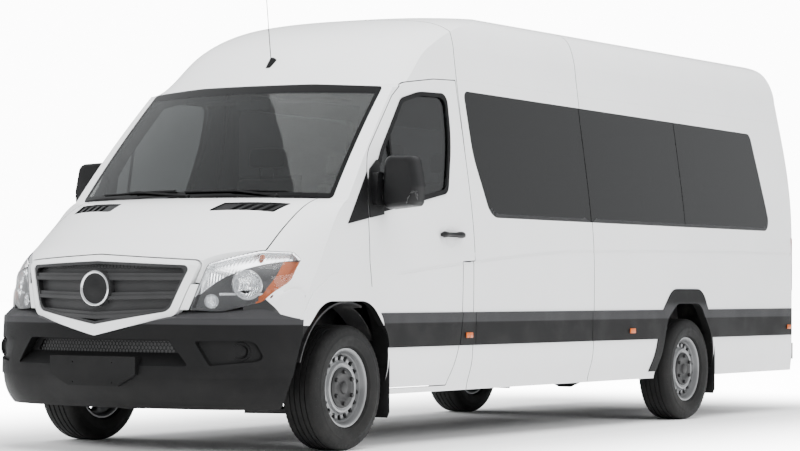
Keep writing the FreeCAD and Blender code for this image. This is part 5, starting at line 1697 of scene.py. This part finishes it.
@dataclass
class CabFittings:
    """What shows of the cab through its glass: hood, display, vents, lever, mirror and visors."""

    shape: CabShape
    driver_x: float = 430.0
    dash_y: float = 338.0

    def vent(self, name: str, x: float, z: float) -> bpy.types.Object:
        """Makes one round air outlet of the dashboard with its cross bar.

        Args:
            name: the piece's name.
            x: its distance from the middle.
            z: its height.

        Returns:
            The outlet.
        """
        place = spot(x, self.dash_y, z)
        profile = [
            (-26.0, 0.0), (-26.0, 44.0), (6.0, 44.0), (8.0, 41.0), (6.0, 36.0), (-8.0, 33.0), (-8.0, 0.0),
        ]
        ring = Workbench.turned(name + "_ring", profile, place, Vector((0.0, 1.0, 0.0)), 28)
        bar = Workbench.block(
            name + "_bar", place + Vector((-0.034, -0.006, -0.004)),
            place + Vector((0.034, 0.004, 0.004)), 0.001,
        )
        return Workbench.joined(name, [ring, bar])

    def build(self) -> None:
        """Makes the fittings."""
        x = self.driver_x
        hood = Workbench.block(
            "instrument_hood", spot(x - 190.0, 190.0, 1332.0), spot(x + 190.0, 356.0, 1404.0),
            0.026, 0.82,
        )
        display = Workbench.block(
            "centre_display", spot(-135.0, 318.0, 1236.0), spot(135.0, 372.0, 1352.0), 0.008,
        )
        Workbench.fit(hood, "cabin")
        Workbench.fit(display, "gloss_black")
        for number, (place, height) in enumerate(
            ((-745.0, 1290.0), (-205.0, 1296.0), (205.0, 1296.0), (745.0, 1290.0)), 1,
        ):
            Workbench.fit(self.vent(f"dash_vent_{number}", place, height), "cabin")
        lever = Workbench.turned(
            "gear_lever", [
                (-60.0, 0.0), (-60.0, 30.0), (-40.0, 22.0), (-8.0, 9.0), (44.0, 8.0), (50.0, 19.0),
                (68.0, 24.0), (84.0, 20.0), (90.0, 0.0),
            ],
            spot(95.0, 420.0, 1130.0), Vector((0.0, 0.72, 0.69)), 20,
        )
        Workbench.fit(lever, "cabin")
        boss = Workbench.turned(
            "steering_boss", [
                (-4.0, 0.0), (-4.0, 70.0), (10.0, 78.0), (22.0, 70.0), (30.0, 40.0), (32.0, 0.0),
            ],
            spot(x, 520.0, 1180.0), Vector((0.0, 0.62, 0.78)), 28,
        )
        Workbench.fit(boss, "cabin")
        head = self.shape.on_screen(0.0, 0.93, -14.0)
        mirror = Workbench.block(
            "cabin_mirror", head + Vector((-0.125, 0.03, -0.085)), head + Vector((0.125, 0.055, -0.02)),
            0.012,
        )
        stalk = Workbench.tube("cabin_mirror_stalk", [head, head + Vector((0.0, 0.045, -0.045))], 0.009)
        Workbench.fit(Workbench.joined("cabin_mirror", [mirror, stalk]), "cabin")
        visor = Workbench.block(
            "sun_visor_left", spot(110.0, 520.0, 1998.0), spot(560.0, 665.0, 2018.0), 0.008,
        )
        Workbench.pair(visor, "headliner")


@dataclass
class Seats:
    """Foam seats in woven cloth, each with a cushion, a back and a headrest, on steel legs."""

    rows: int = 5
    first_row: float = 1760.0
    pitch: float = 800.0
    floor: float = 600.0
    width: float = 429.0
    cab_width: float = 500.0
    cab_y: float = 640.0
    places: tuple[float, ...] = (190.0, 620.0, -615.0)
    cab_places: tuple[float, ...] = (430.0, -430.0)
    voxel: float = 0.022
    cap: float = 0.016
    pressure: float = 4.0
    last_frame: int = 20
    legs_at: tuple[float, float] = (-0.13, 0.13)

    def pad(
        self, name: str, corners: Sequence[tuple[float, float]], half: float, edge: float,
    ) -> bpy.types.Object:
        """Makes one pad: an outline extruded, rounded, remeshed and swollen by cloth pressure.

        Args:
            name: the piece's name.
            corners: the outline's y and z in millimetres.
            half: half the pad's width.
            edge: the rounding's width in millimetres.

        Returns:
            The pad.
        """
        outline = [Vector((-half, y, z)) / 1000.0 for y, z in corners]
        piece = Workbench.plate(name, outline, Vector((2.0 * half / 1000.0, 0.0, 0.0)), edge / 1000.0)
        remesh = piece.modifiers.new("even", "REMESH")
        remesh.mode = "VOXEL"
        remesh.voxel_size = self.voxel
        Workbench.pick(piece)
        bpy.ops.object.modifier_apply(modifier=remesh.name)
        self.swell(piece)
        smooth = piece.modifiers.new("smooth", "SUBSURF")
        smooth.levels = 1
        smooth.render_levels = 1
        Workbench.pick(piece)
        bpy.ops.object.modifier_apply(modifier=smooth.name)
        return piece

    def swell(self, piece: bpy.types.Object) -> None:
        """Lets cloth pressure swell a pad, and caps how far each point moves.

        Args:
            piece: the remeshed pad.
        """
        rest = [corner.co.copy() for corner in piece.data.vertices]
        cloth = piece.modifiers.new("swell", "CLOTH")
        cloth.settings.use_pressure = True
        cloth.settings.uniform_pressure_force = self.pressure
        cloth.settings.effector_weights.gravity = 0.0
        cloth.settings.quality = 5
        cloth.point_cache.frame_start = 1
        cloth.point_cache.frame_end = self.last_frame
        for frame_number in range(1, self.last_frame + 1):
            bpy.context.scene.frame_set(frame_number)
        Workbench.pick(piece)
        bpy.ops.object.modifier_apply(modifier=cloth.name)
        for corner, start in zip(piece.data.vertices, rest):
            move = corner.co - start
            if move.length > self.cap:
                corner.co = start + move * (self.cap / move.length)
        bpy.context.scene.frame_set(1)

    def build(self) -> None:
        """Makes one seat and one frame, and copies them to every place."""
        cushion = self.pad(
            "pad_cushion", [(14.0, 312.0), (14.0, 418.0), (400.0, 402.0), (400.0, 312.0)],
            self.width / 2.0 - 16.0, 36.0,
        )
        back = self.pad(
            "pad_back", [(416.0, 352.0), (522.0, 996.0), (586.0, 996.0), (522.0, 344.0)],
            self.width / 2.0 - 16.0, 30.0,
        )
        rest = self.pad(
            "pad_rest", [(522.0, 1040.0), (532.0, 1176.0), (590.0, 1176.0), (588.0, 1040.0)], 116.0, 26.0,
        )
        seat = Workbench.joined("seat_pads", [cushion, back, rest])
        posts = []
        for side in (-45.0, 45.0):
            ends = [Vector((side, 556.0, 960.0)) / 1000.0, Vector((side, 558.0, 1060.0)) / 1000.0]
            posts.append(Workbench.tube("seat_post", ends, 0.006))
        half = self.width / 2.0
        pan = Workbench.block(
            "seat_pan", Vector((-half + 20.0, 20.0, 288.0)) / 1000.0,
            Vector((half - 20.0, 470.0, 316.0)) / 1000.0, 0.006,
        )
        back_line = ((532.0, 330.0), (598.0, 1000.0), (604.0, 1000.0), (540.0, 330.0))
        shell = Workbench.plate(
            "seat_shell", [Vector((-half + 12.0, y, z)) / 1000.0 for y, z in back_line],
            Vector((2.0 * half - 24.0, 0.0, 0.0)) / 1000.0, 0.002,
        )
        steel = Workbench.joined("seat_steel", [pan, shell, *posts])
        jobs = []
        for number in range(self.rows):
            y = self.first_row + self.pitch * number
            for x in self.places:
                jobs.append(
                    (f"row{number + 1}_{'a' if x < 0.0 else 'b' if x < 400.0 else 'c'}", x, y, 1.0)
                )
        for x in self.cab_places:
            jobs.append(
                (f"cab_{'right' if x < 0.0 else 'left'}", x, self.cab_y, self.cab_width / self.width)
            )
        pads = {"front_seats": [], "rear_seats": []}
        for word, x, y, wide in jobs:
            shift = spot(x, y, self.floor)
            for source, kind, finish in ((seat, "seat", "cloth"), (steel, "seat_frame", "chassis")):
                twin = Workbench.copied(source, f"{kind}_{word}")
                twin.scale = (wide, 1.0, 1.0)
                twin.location = shift
                bpy.ops.object.transform_apply(location=True, rotation=True, scale=True)
                if kind == "seat_frame":
                    legs = []
                    for side in self.legs_at:
                        low = shift + Vector((side - 0.018, 0.09, 0.0003))
                        legs.append(
                            Workbench.block(
                                "seat_leg", low, low + Vector((0.036, 0.34, 0.295)), 0.005, 0.8,
                            )
                        )
                    twin = Workbench.joined(f"{kind}_{word}", [twin, *legs])
                Workbench.fit(twin, finish, "root", 60.0 if kind == "seat" else 35.0)
                if kind == "seat":
                    pads["front_seats" if word.startswith("cab") else "rear_seats"].append(twin)
        for node, pieces in pads.items():
            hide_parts(node)
        for source in (seat, steel):
            bpy.data.objects.remove(source)


class ShellLiningAndShade:
    """Second finishes on the shells' own faces: near-black painted shade in seams and the vents' recess,
    near-black in the arches and at the glazed openings' reveals, grey lining towards the cabin.
    """

    SHELLS = (
        "roof", "cab_frame", "side_wall_left", "side_wall_right", "sliding_door", "door_left", "door_right",
        "rear_door_left", "rear_door_right", "bonnet", "wings",
    )
    PANES = {
        "side_glass": (1.0, 0.0, 0.0), "door_glass_left": (1.0, 0.0, 0.0),
        "door_glass_right": (1.0, 0.0, 0.0), "rear_glass_left": (0.0, 1.0, 0.0),
        "rear_glass_right": (0.0, 1.0, 0.0), "windscreen": (0.0, -0.72, 0.69),
    }
    REVEAL = 0.034
    SEAM = 0.026
    OPPOSED = -0.9
    OUTWARD = 0.9
    EDGE_ON = 0.75
    LIFT = 0.0001
    TOWARDS_WHEEL = 0.35
    HUB_HEIGHT = 0.35
    CABIN_REACH = (-1.2, 2.6)
    CABIN_HEIGHT = 1.35
    TURNED_IN = -0.02
    SHIFTS = (
        (0.0, 0.0, 0.0), (0.0, 0.022, 0.0), (0.0, -0.022, 0.0), (0.0, 0.0, 0.022), (0.0, 0.0, -0.022),
    )
    ARCHES = ((-0.66, 0.50, 0.86), (3.76, 4.83, 0.86))
    VENT = ((733.0, -232.0), (362.0, -346.0), (342.0, -486.0), (700.0, -362.0))

    @staticmethod
    def inward(centres: np.ndarray, normals: np.ndarray) -> np.ndarray:
        """Tells which faces look towards the cabin's middle line.

        Args:
            centres: the faces' middles.
            normals: the faces' directions.

        Returns:
            One truth value per face.
        """
        middle = centres.copy()
        middle[:, 0] = 0.0
        middle[:, 1] = np.clip(centres[:, 1], *ShellLiningAndShade.CABIN_REACH)
        middle[:, 2] = ShellLiningAndShade.CABIN_HEIGHT
        return np.einsum("ij,ij->i", normals, centres - middle) < ShellLiningAndShade.TURNED_IN

    def in_arch(self, centres: np.ndarray, normals: np.ndarray) -> np.ndarray:
        """Tells which faces line a wheel arch: those that look towards the wheel there.

        Args:
            centres: the faces' middles.
            normals: the faces' directions.

        Returns:
            One truth value per face.
        """
        found = np.zeros(len(centres), dtype=bool)
        for start, end, top in self.ARCHES:
            along = centres[:, 1] - FRONT_AXLE_Y
            near = (along > start) & (along < end) & (centres[:, 2] < top) & (np.abs(centres[:, 0]) > 0.5)
            to_wheel = np.zeros_like(centres)
            to_wheel[:, 1] = FRONT_AXLE_Y + (0.0 if start < 0.0 else WHEELBASE) - centres[:, 1]
            to_wheel[:, 2] = self.HUB_HEIGHT - centres[:, 2]
            length = np.linalg.norm(to_wheel, axis=1) + 1e-6
            facing = np.einsum("ij,ij->i", normals, to_wheel) / length
            inner = normals[:, 0] * np.sign(centres[:, 0]) < -0.5
            found |= near & ((facing > self.TOWARDS_WHEEL) | inner)
        return found

    def in_vent(self, centres: np.ndarray) -> np.ndarray:
        """Tells which faces lie within a bonnet vent's outline, seen from above.

        Args:
            centres: the faces' middles.

        Returns:
            One truth value per face.
        """
        x = np.abs(centres[:, 0]) * 1000.0
        y = (centres[:, 1] - FRONT_AXLE_Y) * 1000.0
        found = np.ones(len(centres), dtype=bool)
        corners = self.VENT
        for (ax, ay), (bx, by) in zip(corners, corners[1:] + corners[:1]):
            found &= (bx - ax) * (y - ay) - (by - ay) * (x - ax) > -0.5 * math.hypot(bx - ax, by - ay)
        return found

    def in_seam(self, centre: Vector, way: Vector, partners: dict[str, BVHTree]) -> bool:
        """Tells whether a face is a wall of a seam or the reveal of a glazed opening.

        Args:
            centre: the face's middle.
            way: its direction.
            partners: the search trees of the shells and panes.

        Returns:
            Whether it is one.
        """
        place = centre + way * self.LIFT
        for name, tree in partners.items():
            shifts = self.SHIFTS if name == "side_glass" and abs(way.x) > self.OUTWARD else self.SHIFTS[:1]
            for shift in shifts:
                met = tree.ray_cast(place + Vector(shift), way, self.SEAM)
                if met[0] is not None and met[1].dot(way) < self.OPPOSED:
                    return True
        for name, axis in self.PANES.items():
            beside = abs(way.dot(Vector(axis))) < self.EDGE_ON
            if beside and partners[name].find_nearest(centre, self.REVEAL)[0] is not None:
                return True
        return False

    def apply(self) -> None:
        """Gives the shells' hidden and inner faces their own slots: grey lining towards the cabin;
        near-black in the arches and at the reveals; near-black painted shade in seams and the vents' recess.
        """
        partners = {}
        for name in self.SHELLS + tuple(self.PANES):
            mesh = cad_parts[name].data
            corners = [corner.co.copy() for corner in mesh.vertices]
            partners[name] = BVHTree.FromPolygons(
                corners, [tuple(face.vertices) for face in mesh.polygons]
            )
        for name in self.SHELLS:
            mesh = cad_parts[name].data
            count = len(mesh.polygons)
            centres = np.zeros(count * 3)
            normals = np.zeros(count * 3)
            mesh.polygons.foreach_get("center", centres)
            mesh.polygons.foreach_get("normal", normals)
            centres = centres.reshape(-1, 3)
            normals = normals.reshape(-1, 3)
            first = len(mesh.materials)
            mesh.materials.append(Finishes.get("headliner"))
            mesh.materials.append(Finishes.get("reveal_black_and_seam_shade"))
            slots = np.zeros(count, dtype=np.int32)
            mesh.polygons.foreach_get("material_index", slots)
            if name not in ("bonnet", "wings"):
                slots[self.inward(centres, normals)] = first
            # near-black in the wheel arches
            slots[self.in_arch(centres, normals)] = first + 1
            # painted shade: the recess under the bonnet vents is set near-black
            if name == "bonnet":
                slots[self.in_vent(centres)] = first + 1
            # painted shade: seam walls get the near-black slot, as do the reveals of glazed openings
            for number, (centre, normal) in enumerate(zip(centres, normals)):
                if self.in_seam(Vector(centre), Vector(normal), partners):
                    slots[number] = first + 1
            mesh.polygons.foreach_set("material_index", slots)
            mesh.update()
            LOG.info("lined %s: %d of %d faces", name, int((slots >= first).sum()), count)


@dataclass
class Studio:
    """Floor, lights and the camera at the photograph's viewing angle."""

    camera_place: tuple[float, float, float] = (8.87829, -14.80094, 0.92262)
    turn_deg: float = 31.934
    rise_deg: float = 1.305
    roll_deg: float = 0.324
    focal_mm: float = 117.47
    sensor_mm: float = 36.0
    surround: float = 0.9
    backdrop: float = 12.0
    fade: tuple[float, float] = (0.2, 3.2)
    lights: tuple[tuple, ...] = (
        ("overhead", (1.0, -1.0, 9.5), (0.0, 0.0, 1.0), (9.0, 13.0), 2300.0),
        ("flank", (13.0, 1.0, 6.5), (0.5, 0.0, 1.2), (10.0, 5.0), 1150.0),
        ("far_flank", (-13.0, 1.0, 6.5), (-0.5, 0.0, 1.2), (10.0, 5.0), 1100.0),
        ("nose", (-2.0, -14.0, 6.5), (0.0, -2.5, 1.0), (8.0, 4.0), 1150.0),
        ("tail", (2.0, 14.0, 6.5), (0.0, 2.5, 1.0), (8.0, 4.0), 1150.0),
    )

    def shoot_from(self) -> None:
        """Places the camera."""
        turn, rise, roll = (math.radians(a) for a in (self.turn_deg, self.rise_deg, self.roll_deg))
        ahead = Vector(
            (-math.sin(turn) * math.cos(rise), math.cos(turn) * math.cos(rise), math.sin(rise))
        )
        right = Vector((math.cos(turn), math.sin(turn), 0.0))
        up = right.cross(ahead)
        tilted_right = right * math.cos(roll) + up * math.sin(roll)
        tilted_up = up * math.cos(roll) - right * math.sin(roll)
        lens = bpy.data.cameras.new("camera")
        lens.lens = self.focal_mm
        lens.sensor_width = self.sensor_mm
        lens.clip_end = 200.0
        camera = bpy.data.objects.new("camera", lens)
        turned = Matrix((tilted_right, tilted_up, -ahead)).transposed().to_4x4()
        camera.matrix_world = Matrix.Translation(self.camera_place) @ turned
        bpy.context.scene.collection.objects.link(camera)
        bpy.context.scene.camera = camera

    def lay_floor(self) -> None:
        """Lays a pale floor with a faint mottle."""
        bpy.ops.object.select_all(action="DESELECT")
        bpy.ops.mesh.primitive_plane_add(size=160.0, location=(0.0, 0.0, 0.0))
        floor = bpy.context.object
        floor.name = "floor"
        material = bpy.data.materials.new("pale_floor")
        material.use_nodes = True
        canvas = Canvas(material.node_tree)
        shader = material.node_tree.nodes["Principled BSDF"]
        place = canvas.place()
        mottle = canvas.ramp(canvas.noise(place, 0.8, 4.0), 0.2, 0.8)
        axes = canvas.add("ShaderNodeSeparateXYZ")
        canvas.feed(axes, Vector=place)
        beside = canvas.math("SUBTRACT", canvas.math("ABSOLUTE", axes.outputs["X"]), 1.0)
        beyond = canvas.math("SUBTRACT", canvas.math("ABSOLUTE", axes.outputs["Y"]), 3.6)
        beside = canvas.math("MAXIMUM", beside, 0.0)
        beyond = canvas.math("MAXIMUM", beyond, 0.0)
        reach = canvas.math(
            "SQRT", canvas.math("MULTIPLY_ADD", beside, beside, canvas.math("MULTIPLY", beyond, beyond)),
        )
        sight = canvas.add("ShaderNodeLightPath")
        glow = canvas.math(
            "MULTIPLY", canvas.ramp(reach, self.fade[0], self.fade[1], 0.0, self.backdrop),
            sight.outputs["Is Camera Ray"],
        )
        canvas.feed(
            shader, Base_Color=canvas.blend(mottle, (0.90, 0.90, 0.90), (0.93, 0.93, 0.93)),
            Roughness=0.85,
        )
        canvas.feed(shader, Emission_Color=(1.0, 1.0, 1.0, 1.0), Emission_Strength=glow)
        floor.data.materials.append(material)

    def lamp(
        self, name: str, place: Sequence[float], aim: Sequence[float], size: tuple[float, float],
        power: float,
    ) -> None:
        """Hangs a soft area light.

        Args:
            name: the light's name.
            place: where it hangs.
            aim: the point that it faces.
            size: its width and height in metres.
            power: watts.
        """
        data = bpy.data.lights.new(name, "AREA")
        data.shape = "RECTANGLE"
        data.size, data.size_y = size
        data.energy = power
        light = bpy.data.objects.new(name, data)
        light.location = place
        way = Vector(aim) - Vector(place)
        light.rotation_euler = way.to_track_quat("-Z", "Y").to_euler()
        light.visible_glossy = False
        bpy.context.scene.collection.objects.link(light)

    def light_up(self) -> None:
        """Sets the white backdrop, the soft surround and the large lights."""
        world = bpy.data.worlds.new("surround")
        world.use_nodes = True
        canvas = Canvas(world.node_tree)
        surround = world.node_tree.nodes["Background"]
        surround.inputs["Color"].default_value = (0.96, 0.98, 1.0, 1.0)
        surround.inputs["Strength"].default_value = self.surround
        backdrop = canvas.add("ShaderNodeBackground")
        canvas.feed(backdrop, Color=(1.0, 1.0, 1.0, 1.0), Strength=self.backdrop)
        sight = canvas.add("ShaderNodeLightPath")
        both = canvas.add("ShaderNodeMixShader")
        world.node_tree.links.new(sight.outputs["Is Camera Ray"], both.inputs[0])
        world.node_tree.links.new(surround.outputs[0], both.inputs[1])
        world.node_tree.links.new(backdrop.outputs[0], both.inputs[2])
        world.node_tree.links.new(
            both.outputs[0], world.node_tree.nodes["World Output"].inputs["Surface"],
        )
        bpy.context.scene.world = world
        for name, place, aim, size, power in self.lights:
            self.lamp(name, place, aim, size, power)


def main() -> None:
    """Builds the scene in order."""
    logging.basicConfig(level=logging.INFO, format="%(name)s: %(message)s")
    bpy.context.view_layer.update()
    studio = Studio()
    studio.shoot_from()
    studio.lay_floor()
    studio.light_up()
    Dressing().apply()
    ShellLiningAndShade().apply()
    shape = CabShape()
    assemblies = (
        RoadWheels(), LampUnits(), ScreenWipers(shape), MirrorFaces(), FlankTrim(), MudFlaps(), TailTrim(),
        NoseCheeks(), FrontMesh(shape), CabFittings(shape), Seats(),
    )
    for assembly in assemblies:
        assembly.build()
        LOG.info("built %s", type(assembly).__name__)


if __name__ == "__main__":
    main()
